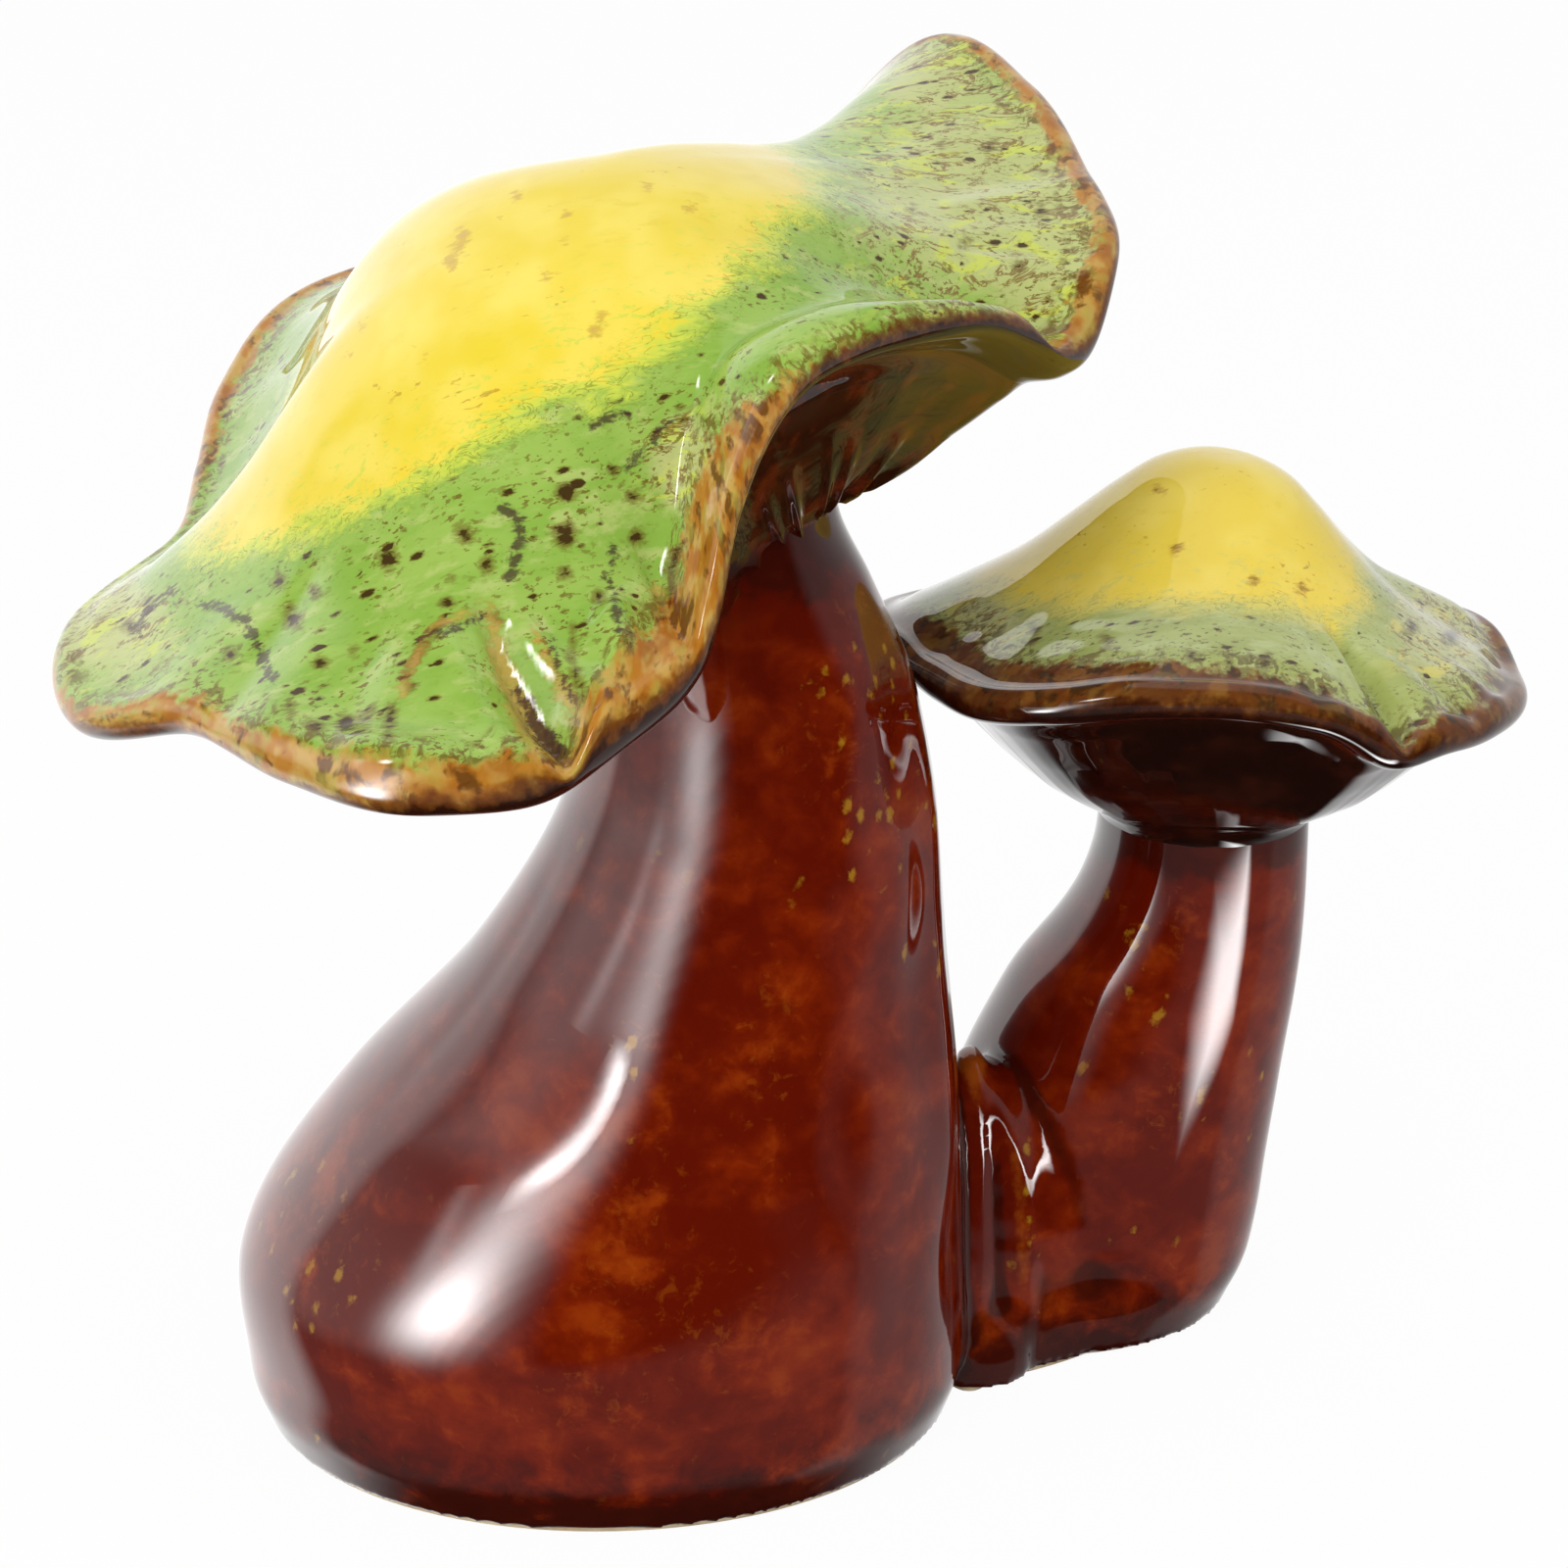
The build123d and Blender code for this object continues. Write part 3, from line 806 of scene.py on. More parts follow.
class Glaze:
    """The nodes of one glaze, clay or studio surface."""

    def __init__(self, name):
        self.material = bpy.data.materials.new(name)
        self.material.use_nodes = True
        self.tree = self.material.node_tree
        self.shader = self.tree.nodes["Principled BSDF"]

    def node(self, kind, settings, inputs, output=0):
        """A node with its settings, and then with a value or a wire for each of its inputs."""
        made = self.tree.nodes.new(kind)
        for name, value in settings.items():
            setattr(made, name, value)
        for place, value in inputs.items():
            if isinstance(value, Wire):
                self.tree.links.new(value.socket, made.inputs[place])
            else:
                made.inputs[place].default_value = value
        return Wire(self, made.outputs[output])

    def maths(self, kind, *values):
        return self.node("ShaderNodeMath", {"operation": kind}, dict(enumerate(values)))

    def most(self, one, other):
        return self.maths("MAXIMUM", one, other)

    def least(self, one, other):
        return self.maths("MINIMUM", one, other)

    def step(self, value, low, high):
        """Turns from 0 at the low value to 1 at the high one, and stays so beyond them.

        The low value may be the greater of the two.
        """
        return self.node(
            "ShaderNodeMapRange",
            {"interpolation_type": "SMOOTHSTEP"},
            {0: value, 1: low, 2: high, 3: 0.0, 4: 1.0},
        )

    def kept(self, name, output="Fac"):
        """What the corners keep under the name."""
        return self.node("ShaderNodeAttribute", {"attribute_name": name}, {}, output)

    def seen_by(self, ray):
        """1 for the named kind of ray, and 0 for all others."""
        return self.node("ShaderNodeLightPath", {}, {}, ray)

    def in_millimetres(self, vector):
        scale = (1 / METRE, 1 / METRE, 1 / METRE)
        return self.node("ShaderNodeVectorMath", {"operation": "MULTIPLY"}, {0: vector, 1: scale})

    def place(self):
        """Places on the piece, in millimetres."""
        return self.in_millimetres(self.node("ShaderNodeTexCoord", {}, {}, "Object"))

    def drawn_out(self, vector, size, turn=(0, 0, 0)):
        """A pattern's places turned and then stretched, so that it runs along an axis."""
        return self.node(
            "ShaderNodeMapping",
            {"vector_type": "TEXTURE"},
            {"Vector": vector, "Rotation": tuple(radians(value) for value in turn), "Scale": size},
        )

    def cloud(self, vector, size, detail=3.0, roughness=0.55, warp=0.0):
        """Soft noise whose patches are about the given size, in millimetres."""
        values = {"Scale": 1 / size, "Detail": detail, "Roughness": roughness, "Distortion": warp}
        return self.node("ShaderNodeTexNoise", {}, {"Vector": vector, **values})

    def cells(self, vector, size, output="Distance"):
        """Cells about the given size: the distance from the middle, or a colour for each one."""
        return self.node("ShaderNodeTexVoronoi", {}, {"Vector": vector, "Scale": 1 / size}, output)

    def channel(self, colour, number):
        """A colour's red, green or blue."""
        return self.node("ShaderNodeSeparateColor", {}, {0: colour}, number)

    def axis(self, vector, number):
        """A vector's x, y or z."""
        return self.node("ShaderNodeSeparateXYZ", {}, {0: vector}, number)

    def blend(self, share, one, other):
        """One colour where the share is 0, and the other where it is 1."""
        return self.node("ShaderNodeMix", {"data_type": "RGBA"}, {0: share, 6: one, 7: other}, 2)

    def wire_to(self, socket, value):
        self.tree.links.new(value.socket, self.shader.inputs[socket])

    def settle(self, values):
        """Sets constants on the shader's own sockets."""
        for socket, value in values.items():
            self.shader.inputs[socket].default_value = value

    def clear_coat(self, roughness):
        """A body colour without a shine of its own, below a layer of clear, smooth glaze."""
        self.settle({"Roughness": roughness, "Specular IOR Level": 0.0})
        self.settle({"Coat Weight": 1.0, "Coat Roughness": 0.025, "Coat IOR": 1.55})

    def bump(self, height, distance, strength):
        values = {"Height": height, "Distance": distance * METRE, "Strength": strength}
        self.wire_to("Normal", self.node("ShaderNodeBump", {}, values, "Normal"))

    def glow(self, strength):
        return self.node("ShaderNodeEmission", {}, {"Color": white, "Strength": strength})

    def surface(self, shader):
        self.tree.links.new(shader.socket, self.tree.nodes["Material Output"].inputs["Surface"])

    def glow_through(self, share, strength):
        """Mixes a white glow into the surface, by the share."""
        own = Wire(self, self.shader.outputs[0])
        inputs = {0: share, 1: own, 2: self.glow(strength)}
        self.surface(self.node("ShaderNodeMixShader", {}, inputs))

    def glow_added(self, strength):
        """Leaves the surface clear, and adds a white glow to what is behind it."""
        clear = self.node("ShaderNodeBsdfTransparent", {}, {})
        self.surface(self.node("ShaderNodeAddShader", {}, {0: clear, 1: self.glow(strength)}))


class Surroundings(Glaze):
    """The nodes of the world round the object, written as a glaze is."""

    def __init__(self, name):
        world = bpy.data.worlds.new(name)
        bpy.context.scene.world = world
        world.use_nodes = True
        self.tree = world.node_tree
        self.shader = self.tree.nodes["Background"]
        self.settle({"Color": white})

    def pick(self, share, one, other):
        """One value where the share is 0, and the other where it is 1."""
        return self.node("ShaderNodeMix", {"data_type": "FLOAT"}, {0: share, 2: one, 3: other})


def tone(red, green, blue):
    """A colour as it is seen, from 0 to 255, turned into the light it gives."""
    values = []
    for value in (red, green, blue):
        share = value / 255
        values.append(share / 12.92 if share <= 0.04045 else ((share + 0.055) / 1.055) ** 2.4)
    return (*values, 1.0)


def crown_glaze(name, tones, feather, specks, rim_noise):
    """Yellow that breaks into green through lace, with brown specks, and an amber and brown rim."""
    glaze = Glaze(name)
    place = glaze.place()
    brushed = glaze.drawn_out(place, (2.6, 1.0, 1.0), (0, -14, 0))
    flow = glaze.in_millimetres(glaze.kept("flow", "Vector"))
    to_rim = glaze.kept("to_rim")
    pale = glaze.kept("pale")
    broad = glaze.cloud(brushed, 4.5, 3.0, 0.6)
    fine = glaze.cloud(brushed, 1.1, 4.0, 0.62, 0.8)
    hair = glaze.cloud(brushed, 0.5, 2.0, 0.6, 1.0)
    # Above zero in the yellow and below zero in the green, in millimetres, with a feathered edge
    edge = glaze.kept("to_yellow") + (broad - 0.5) * feather
    edge = edge + (fine - 0.5) * (feather * 0.8) + (hair - 0.5) * 2.0

    # The yellow in the middle, clouded with ochre, moss and rust
    soft = glaze.step(glaze.cloud(place, 8.0, 2.0), 0.38, 0.66)
    yellow = glaze.blend(soft, tones["yellow"], tones["pale yellow"])
    ochre = glaze.step(glaze.cloud(brushed, 2.0, 5.0, 0.7), 0.54, 0.72)
    yellow = glaze.blend(ochre * 0.5, yellow, tones["ochre"])
    moss = glaze.step(glaze.cloud(brushed, 0.9, 4.0, 0.65, 1.0), 0.57, 0.64)
    moss = moss * glaze.step(edge, 11.0, 1.0)
    yellow = glaze.blend(moss * 0.8, yellow, tones["lime"])
    fleck = glaze.step(glaze.cloud(brushed, 0.8, 3.0, 0.6, 0.6), 0.62, 0.68)
    fleck = fleck * glaze.step(glaze.cloud(place, 7.0, 2.0), 0.54, 0.62)
    yellow = glaze.blend(fleck * 0.55, yellow, tones["rust"])

    # The green round it, misty, washed pale in places by a painted sheen, with lime along the edge
    green = glaze.blend(glaze.step(broad, 0.40, 0.62), tones["green"], tones["deep green"])
    misty = glaze.step(glaze.cloud(brushed, 2.4, 4.0, 0.62), 0.50, 0.66)
    green = glaze.blend(misty * 0.7, green, tones["misty green"])
    # Painted sheen: the green washed pale in the pale patches
    sheen_wash = glaze.step(pale + (broad - 0.5) * 0.8 + (fine - 0.5) * 0.5, 0.25, 0.75)
    green = glaze.blend(sheen_wash * 0.7, green, tones["sheen green"])
    strand_place = glaze.drawn_out(place, (3.0, 1.2, 1.0), (0, -18, 0))
    licks = glaze.step(glaze.cloud(strand_place, 2.6, 4.0, 0.62, 0.8), 0.53, 0.60)
    licks = licks * glaze.step(pale, 0.05, 0.5)
    green = glaze.blend(licks * 0.75, green, tones["lime"])
    green = glaze.blend(glaze.step(edge, -2.6, 0.2), green, tones["lime"])
    colour = glaze.blend(glaze.step(edge, -0.4, 1.8), green, yellow)

    # Olive lace along the edge
    near_edge = glaze.step(edge, -5.0, -0.8) * glaze.step(edge, 2.4, 0.0)
    lace = glaze.maths("ABSOLUTE", glaze.cloud(brushed, 1.5, 3.0, 0.6, 1.6) - 0.5)
    lace = glaze.step(lace, 0.022, 0.008) * near_edge
    colour = glaze.blend(lace * 0.6, colour, tones["olive"])

    # Brown dust and specks in clusters, the stains of the photograph, and thin brown strands
    patches_of_green = glaze.cloud(place, 6.5, 3.0, 0.6)
    cluster = glaze.step(patches_of_green, 0.40, 0.60)
    dashes = glaze.drawn_out(place, (2.3, 1.0, 1.0), (0, -18, 0))
    dust = glaze.step(glaze.cloud(dashes, 0.42, 2.0, 0.55), 0.61 - specks, 0.66 - specks)
    dust = dust * (cluster * 0.9 + 0.1)
    pick = glaze.cells(dashes, 1.15, "Color")
    spot = glaze.cells(dashes, 1.15) - glaze.channel(pick, 0) * 0.30 + (hair - 0.5) * 0.5
    present = glaze.step(glaze.channel(pick, 1) + cluster * 0.35, 0.80, 0.84)
    stain = glaze.kept("stain") + (fine - 0.5) * 2.6 + (hair - 0.5) * 1.2
    rusty = glaze.most(glaze.step(spot, 0.16, 0.02) * present, glaze.step(stain, 0.8, 0.0))
    core = glaze.most(glaze.step(spot, 0.05, -0.04) * present, glaze.step(stain, 0.1, -0.4))
    in_green = glaze.step(edge, -0.6, -3.0)
    strands = glaze.maths("ABSOLUTE", glaze.cloud(strand_place, 3.0, 5.0, 0.66, 1.2) - 0.5)
    strands = glaze.step(strands, 0.034, 0.010)
    strands = strands * glaze.step(glaze.cloud(strand_place, 1.8, 2.0), 0.44, 0.54)
    strands = strands * glaze.step(pale + (patches_of_green - 0.5) * 1.0, 0.16, 0.45)
    colour = glaze.blend(strands * in_green * 0.8, colour, tones["strand"])
    specked = glaze.most(dust * 0.85, rusty * 0.65)
    colour = glaze.blend(specked * in_green, colour, tones["speck"])
    colour = glaze.blend(core * in_green * 0.92, colour, tones["dark speck"])

    # The smears and the veins of the photograph
    smear = glaze.kept("smear") + (fine - 0.5) * 3.0 + (hair - 0.5) * 1.5
    smear = glaze.step(smear, 0.7, -0.4)
    smeared = glaze.blend(glaze.step(smear, 0.5, 0.9), tones["rust"], tones["tan"])
    colour = glaze.blend(smear * 0.72, colour, smeared)
    vein = glaze.kept("vein") + (fine - 0.5) * 3.2 + (hair - 0.5) * 1.8
    colour = glaze.blend(glaze.step(vein, 0.55, -0.15) * 0.85, colour, tones["vein"])

    # The amber rim with its dark fringe, clouded with tan, orange, brown and olive
    along_rim = glaze.cloud(flow, 1.3, 3.0, 0.55)
    patches = glaze.cloud(flow, 4.2, 3.0, 0.6)
    streaks = glaze.cloud(glaze.drawn_out(flow, (1.0, 1.0, 1.8)), 0.6, 3.0, 0.6)
    rim_edge = to_rim - glaze.kept("band") + (0.5 - patches) * 5.0
    rim_edge = rim_edge + (along_rim - 0.5) * rim_noise + (streaks - 0.5) * 1.8
    fringe = glaze.step(rim_edge, -0.6, 0.6) * glaze.step(rim_edge, 3.2, 1.0)
    fringe = fringe * glaze.step(glaze.cloud(flow, 1.5, 4.0, 0.65, 0.8), 0.47, 0.58)
    colour = glaze.blend(fringe * 0.85, colour, tones["speck"])
    tan_clouds = glaze.step(glaze.cloud(flow, 2.0, 2.0, 0.5), 0.42, 0.62)
    amber = glaze.blend(tan_clouds, tones["amber"], tones["tan"])
    burnt = glaze.step(glaze.cloud(flow, 3.4, 2.0, 0.5), 0.48, 0.64)
    amber = glaze.blend(burnt * 0.8, amber, tones["orange"])
    scorched = glaze.cloud(flow, 2.2, 3.0, 0.55, 0.4) + (patches - 0.5) * 0.5
    amber = glaze.blend(glaze.step(scorched, 0.51, 0.64) * 0.9, amber, tones["brown"])
    olive_rim = glaze.step(glaze.cloud(flow, 2.6, 2.0, 0.5), 0.54, 0.68)
    amber = glaze.blend(olive_rim * 0.5, amber, tones["olive rim"])
    colour = glaze.blend(glaze.step(rim_edge, 0.7, -0.9) * 0.96, colour, amber)

    # The dark brown lip below it
    under = to_rim - glaze.kept("scorch") + (along_rim - 0.5) * 2.4 + (patches - 0.5) * 3.0
    colour = glaze.blend(glaze.step(under, 0.4, -1.0) * 0.9, colour, tones["brown"])
    colour = glaze.blend(glaze.step(under, -0.8, -2.0), colour, tones["black brown"])

    glaze.wire_to("Base Color", colour)
    glaze.clear_coat(0.4)
    glaze.bump(glaze.cloud(place, 2.6, 2.0) - core * 0.15, 0.04, 0.5)
    return glaze.material


# The neck and hollow tones are painted shade, and the foot tone is darker towards the feet
stem_tones = {
    "red brown": tone(94, 17, 2), "warm brown": tone(126, 34, 4), "amber": tone(150, 60, 10),
    "ochre": tone(160, 78, 16), "neck": tone(50, 12, 6), "foot": tone(46, 12, 7),
    "hollow": tone(44, 10, 4), "crest": tone(168, 84, 20), "olive": tone(180, 132, 30),
}


def stem_glaze(tones):
    """Transparent red-brown glaze, clouded with amber, with olive flecks and dark feet."""
    glaze = Glaze("tortoiseshell glaze")
    place = glaze.place()
    drawn = glaze.drawn_out(place, (1.3, 1.3, 1.1))
    broad = glaze.cloud(drawn, 11.0, 3.0, 0.55, 0.3)
    cloudy = glaze.cloud(drawn, 3.4, 4.0, 0.6, 0.3)
    fine = glaze.cloud(place, 1.0, 3.0, 0.6)
    z = glaze.axis(place, 2)
    crest = glaze.kept("crest")
    in_patch = glaze.kept("amber") - 0.5

    # Red brown with clouds of amber and ochre
    warm = glaze.step(broad * 0.6 + cloudy * 0.4, 0.42, 0.62)
    colour = glaze.blend(warm, tones["red brown"], tones["warm brown"])
    cloud = glaze.step(cloudy + (broad - 0.5) * 0.7 + in_patch * 0.18, 0.52, 0.80)
    colour = glaze.blend(cloud * 0.6, colour, tones["amber"])
    ochre = glaze.step(glaze.cloud(place, 1.6, 4.0, 0.65, 0.5) + in_patch * 0.14, 0.58, 0.76)
    colour = glaze.blend(ochre * 0.3, colour, tones["ochre"])

    # Painted shade at the necks below the caps and in hollows, and darker towards the feet
    # Painted shade below the caps, at the stems' necks
    neck = glaze.step(glaze.kept("neck") + (cloudy - 0.5) * 1.4, 0.4, 0.8)
    colour = glaze.blend(neck * 0.8, colour, tones["neck"])
    # Darker towards the feet
    low = glaze.step(z + (cloudy - 0.5) * 14, 10.0, 3.0)
    colour = glaze.blend(low * 0.85, colour, tones["foot"])
    # Painted shade in hollows, where the surface sinks below its neighbours
    colour = glaze.blend(glaze.step(crest, -0.004, -0.020) * 0.75, colour, tones["hollow"])

    # Light where it breaks over crests, and olive flecks
    breaking = glaze.step(crest + (fine - 0.5) * 0.02, 0.010, 0.028) * glaze.step(z, 5.0, 9.0)
    colour = glaze.blend(breaking * 0.6, colour, tones["crest"])
    spot_place = glaze.drawn_out(place, (1.0, 1.0, 1.7), (0, 24, 0))
    pick = glaze.cells(spot_place, 1.7, "Color")
    spot = glaze.cells(spot_place, 1.7) + (fine - 0.5) * 0.9 - glaze.channel(pick, 1) * 0.12
    present = glaze.step(glaze.channel(pick, 0) + glaze.kept("fleck") * 0.60, 0.98, 1.02)
    spot = glaze.step(spot, 0.34, 0.02) * present
    colour = glaze.blend(spot * 0.65, colour, tones["olive"])

    glaze.wire_to("Base Color", colour)
    glaze.clear_coat(0.35)
    pits = glaze.step(glaze.cells(place, 4.0), 0.05, 0.015)
    glaze.bump(glaze.cloud(place, 4.0, 2.0) * 0.3 - pits * 0.8, 0.05, 0.6)
    return glaze.material


def under_glaze(name, dark, warm, lip_tone, crest_tone):
    """Near-black brown glaze of an underside, thin and olive on the crests of its gills."""
    glaze = Glaze(name)
    place = glaze.place()
    cloudy = glaze.cloud(place, 5.0, 4.0, 0.6)
    fine = glaze.cloud(place, 1.0, 3.0, 0.6)
    colour = glaze.blend(glaze.step(cloudy, 0.46, 0.66), dark, warm)
    lip = glaze.step(glaze.kept("along") + (fine - 0.5) * 0.1, 0.12, 0.0)
    colour = glaze.blend(lip * 0.7, colour, lip_tone)
    thin = glaze.step(glaze.kept("rib") + (fine - 0.5) * 1.0, 1.3, 2.1)
    colour = glaze.blend(thin * 0.85, colour, crest_tone)
    glaze.wire_to("Base Color", colour)
    glaze.clear_coat(0.35)
    glaze.bump(glaze.cloud(place, 3.0, 2.0), 0.05, 0.5)
    return glaze.material


def bisque():
    """Bare cream clay of the foot."""
    glaze = Glaze("bare cream clay")
    place = glaze.place()
    grain = glaze.cloud(place, 0.5, 4.0, 0.7)
    smudge = glaze.cloud(place, 9.0, 3.0, 0.6)
    colour = glaze.blend(glaze.step(smudge, 0.4, 0.7), tone(226, 208, 176), tone(206, 182, 146))
    colour = glaze.blend(glaze.step(grain, 0.6, 0.75) * 0.4, colour, tone(150, 118, 84))
    glaze.wire_to("Base Color", colour)
    glaze.wire_to("Roughness", 0.7 + grain * 0.25)
    glaze.bump(grain, 0.05, 0.7)
    return glaze.material


large_tones = {
    "yellow": tone(238, 213, 62), "pale yellow": tone(244, 222, 92), "ochre": tone(228, 202, 54),
    "rust": tone(176, 112, 44), "green": tone(156, 188, 86), "deep green": tone(140, 178, 72),
    "sheen green": tone(204, 203, 138), "misty green": tone(186, 200, 118),
    "lime": tone(206, 216, 84), "olive": tone(122, 132, 44), "speck": tone(112, 92, 36),
    "strand": tone(128, 88, 44), "dark speck": tone(62, 36, 18), "vein": tone(74, 52, 46),
    "amber": tone(186, 122, 40), "tan": tone(198, 156, 80), "orange": tone(164, 92, 20),
    "brown": tone(100, 50, 16), "olive rim": tone(180, 168, 76), "black brown": tone(44, 18, 8),
}
small_tones = {
    **large_tones, "sheen green": tone(206, 206, 150), "yellow": tone(242, 214, 80),
    "pale yellow": tone(247, 222, 100), "ochre": tone(232, 202, 72), "green": tone(180, 190, 116),
    "deep green": tone(166, 176, 100), "misty green": tone(192, 202, 138),
    "lime": tone(222, 210, 110), "olive": tone(146, 144, 78), "speck": tone(112, 100, 62),
    "dark speck": tone(70, 48, 36), "amber": tone(100, 42, 6), "tan": tone(128, 74, 22),
    "orange": tone(88, 32, 6), "brown": tone(56, 20, 6), "olive rim": tone(136, 96, 34),
    "black brown": tone(34, 12, 6),
}
# The tones of the undersides: dark, warm, at the lip and on the crests of the gills
large_under_tones = (tone(44, 18, 8), tone(92, 34, 12), tone(96, 42, 16), tone(132, 108, 30))
small_under_tones = (tone(30, 10, 5), tone(48, 17, 8), tone(56, 22, 8), tone(70, 30, 10))

# Marks in the glaze, placed where the photograph shows them: across, down and half width,
# in its own pixels. A mark is a dot, or a line drawn from dot to dot
large_stains = [
    (395, 570, 8), (322, 604, 5), (299, 632, 8), (235, 666, 4), (285, 594, 4), (577, 502, 8),
    (577, 545, 10), (576, 584, 5), (649, 548, 5), (646, 508, 5), (474, 545, 7), (460, 590, 3),
    (457, 615, 4), (360, 665, 3), (326, 676, 5), (497, 576, 4), (625, 480, 3), (612, 610, 4),
    (354, 738, 8), (505, 630, 3), (420, 700, 3), (152, 615, 3), (133, 640, 5), (320, 742, 7),
    (296, 722, 4), [(452, 636, 2), (430, 660, 3), (414, 690, 3)], [(400, 724, 3), (396, 752, 3)],
    [(372, 736, 4), (382, 722, 1)], [(533, 706, 1), (548, 740, 5), (572, 775, 6)],
    [(586, 640, 2), (582, 668, 2), (590, 700, 3), (604, 728, 4)],
    [(640, 640, 2), (652, 672, 3), (660, 706, 4), (650, 724, 4)],
    [(692, 560, 2), (684, 590, 3), (690, 620, 3)],
    (1010, 150, 3), (1062, 215, 4), (985, 248, 2), (960, 150, 1), (1040, 270, 4), (930, 215, 1),
]
large_veins = [
    [(516, 520, 3), (531, 532, 4), (528, 560, 3), (520, 590, 2)],
    [(204, 614, 1), (232, 622, 2), (252, 634, 2), (264, 662, 3), (277, 692, 3)],
    [(182, 603, 1), (160, 612, 2), (136, 645, 0)],
    [(606, 432, 2), (622, 425, 1), (640, 423, 0)],
    [(640, 480, 0), (660, 455, 1), (690, 425, 0)],
    [(626, 560, 0), (622, 590, 1), (632, 640, 1), (648, 680, 2), (655, 700, 3)],
    [(426, 655, 0), (440, 646, 1), (470, 640, 1), (494, 626, 1)],
    [(528, 700, 3), (548, 742, 6), (570, 770, 7), (590, 790, 7)],
    [(560, 650, 0), (572, 690, 2), (590, 720, 0)],
]
large_smears = [
    (472, 240, 3), (468, 254, 4), (462, 268, 4), (614, 326, 3), (608, 336, 3), (527, 201, 1),
    (578, 218, 0), (577, 250, 0), (370, 330, 0), (352, 360, 0), (660, 190, 0), (705, 212, 1),
    (556, 282, 1), [(498, 622, 2), (510, 670, 8), (530, 720, 10), (552, 768, 11)],
    [(545, 640, 1), (566, 690, 6), (590, 730, 9), (612, 768, 12)],
    [(500, 620, 1), (470, 628, 2), (440, 640, 1)],
    [(668, 600, 3), (680, 640, 8), (690, 680, 10)], [(440, 640, 1), (424, 672, 3), (410, 704, 3)],
]
small_stains = [
    (1130, 655, 4), (1215, 668, 4), (1290, 676, 5), (1480, 650, 6), (1440, 640, 4), (1055, 640, 4),
]
small_veins = [[(1392, 700, 0), (1402, 726, 1), (1411, 754, 3)]]
small_smears = [(1200, 560, 3), (1280, 590, 3), (1330, 600, 3), (1180, 500, 2)]

# Places on the crowns washed pale as a painted sheen, where strands and licks also run, and
# clouds of amber and flecks of olive on the stems: across, down, half width and half height, in the
# same pixels
large_sheen_and_streaks = [
    (1000, 190, 140, 130), (1060, 250, 70, 110), (110, 640, 70, 60), (700, 470, 40, 50),
    (950, 80, 60, 50),
]
small_sheen_and_streaks = [(1480, 640, 60, 60), (1010, 620, 40, 50)]
amber_patches = [
    (640, 1230, 60, 170), (700, 1330, 110, 90), (600, 1430, 90, 50), (660, 1060, 26, 90),
    (780, 1080, 40, 130), (330, 1250, 60, 130), (1190, 1130, 40, 60), (1200, 940, 40, 50),
    (880, 620, 60, 60), (850, 760, 60, 80),
]
fleck_patches = [
    (320, 1290, 40, 110), (300, 1230, 26, 50), (925, 770, 34, 110), (890, 860, 44, 70),
    (910, 700, 26, 60), (965, 890, 16, 60), (850, 700, 40, 40), (1275, 1090, 16, 50),
    (1235, 1130, 18, 40), (1160, 1000, 30, 70), (1150, 1270, 30, 30), (640, 1090, 18, 50),
    (330, 1440, 24, 30), (1050, 1240, 16, 60),
]
# The camera of the photograph: its tilt, its reach to the middle of the object, the height of
# that middle, its angle of view, and the width of the photograph in pixels
eye_tilt = 20.0
eye_reach = 376.0
eye_centre = 69.5
eye_width = 24.0
photo_width = 1600
# How many pixels come to a millimetre on the crowns, how far from a mark counts as far, and how
# much more of a patch there is where the camera doesn't see
mark_scale = 10
far_from_marks = 9.0
unseen_extra = 0.25


def photo_places(piece):
    """Where the photograph shows each corner, in its pixels, and whether it faces the camera."""
    corners = corners_of(piece)
    tilt = radians(eye_tilt)
    ahead = np.array([0, cos(tilt), -sin(tilt)])
    above = np.array([0, sin(tilt), cos(tilt)])
    eye = np.array([0, 0, eye_centre]) - ahead * eye_reach
    sight = corners - eye
    depth = sight @ ahead
    scale = photo_width / 2 / tan(radians(eye_width / 2))
    across = photo_width / 2 + scale * sight[:, 0] / depth
    down = photo_width / 2 - scale * (sight @ above) / depth
    facing = (read_corners(piece, "normal") * sight).sum(axis=1) < 0
    return np.stack([across, down], axis=1), facing


def keep_marks(piece, name, marks):
    """Keeps each corner's distance from the edge of the nearest mark, in millimetres."""
    places, facing = photo_places(piece)
    nearest = np.full(len(places), far_from_marks)
    for mark in marks:
        line = mark if isinstance(mark, list) else [mark]
        for start, end in zip(line, line[1:] or line):
            begin = np.array(start, float)
            way = np.array(end, float) - begin
            length = max((way[:2] ** 2).sum(), 1e-6)
            share = np.clip(((places - begin[:2]) @ way[:2]) / length, 0, 1)
            gap = np.linalg.norm(places - begin[:2] - share[:, None] * way[:2], axis=1)
            gap = (gap - begin[2] - share * way[2]) / mark_scale
            nearest = np.where(facing, np.minimum(nearest, gap), nearest)
    keep(piece, name, nearest)


def keep_patches(piece, name, patches, elsewhere):
    """Keeps how far each corner lies inside a patch, from 0 to 1."""
    places, facing = photo_places(piece)
    inside = np.full(len(places), elsewhere)
    for across, down, wide, tall in patches:
        fade = ((places[:, 0] - across) / wide) ** 2 + ((places[:, 1] - down) / tall) ** 2
        inside = np.where(facing, np.maximum(inside, np.exp(-fade)), inside)
    keep(piece, name, np.where(facing, inside, elsewhere + unseen_extra))


def dress(piece, material):
    """The piece wears the material all over."""
    piece.data.materials.clear()
    piece.data.materials.append(material)


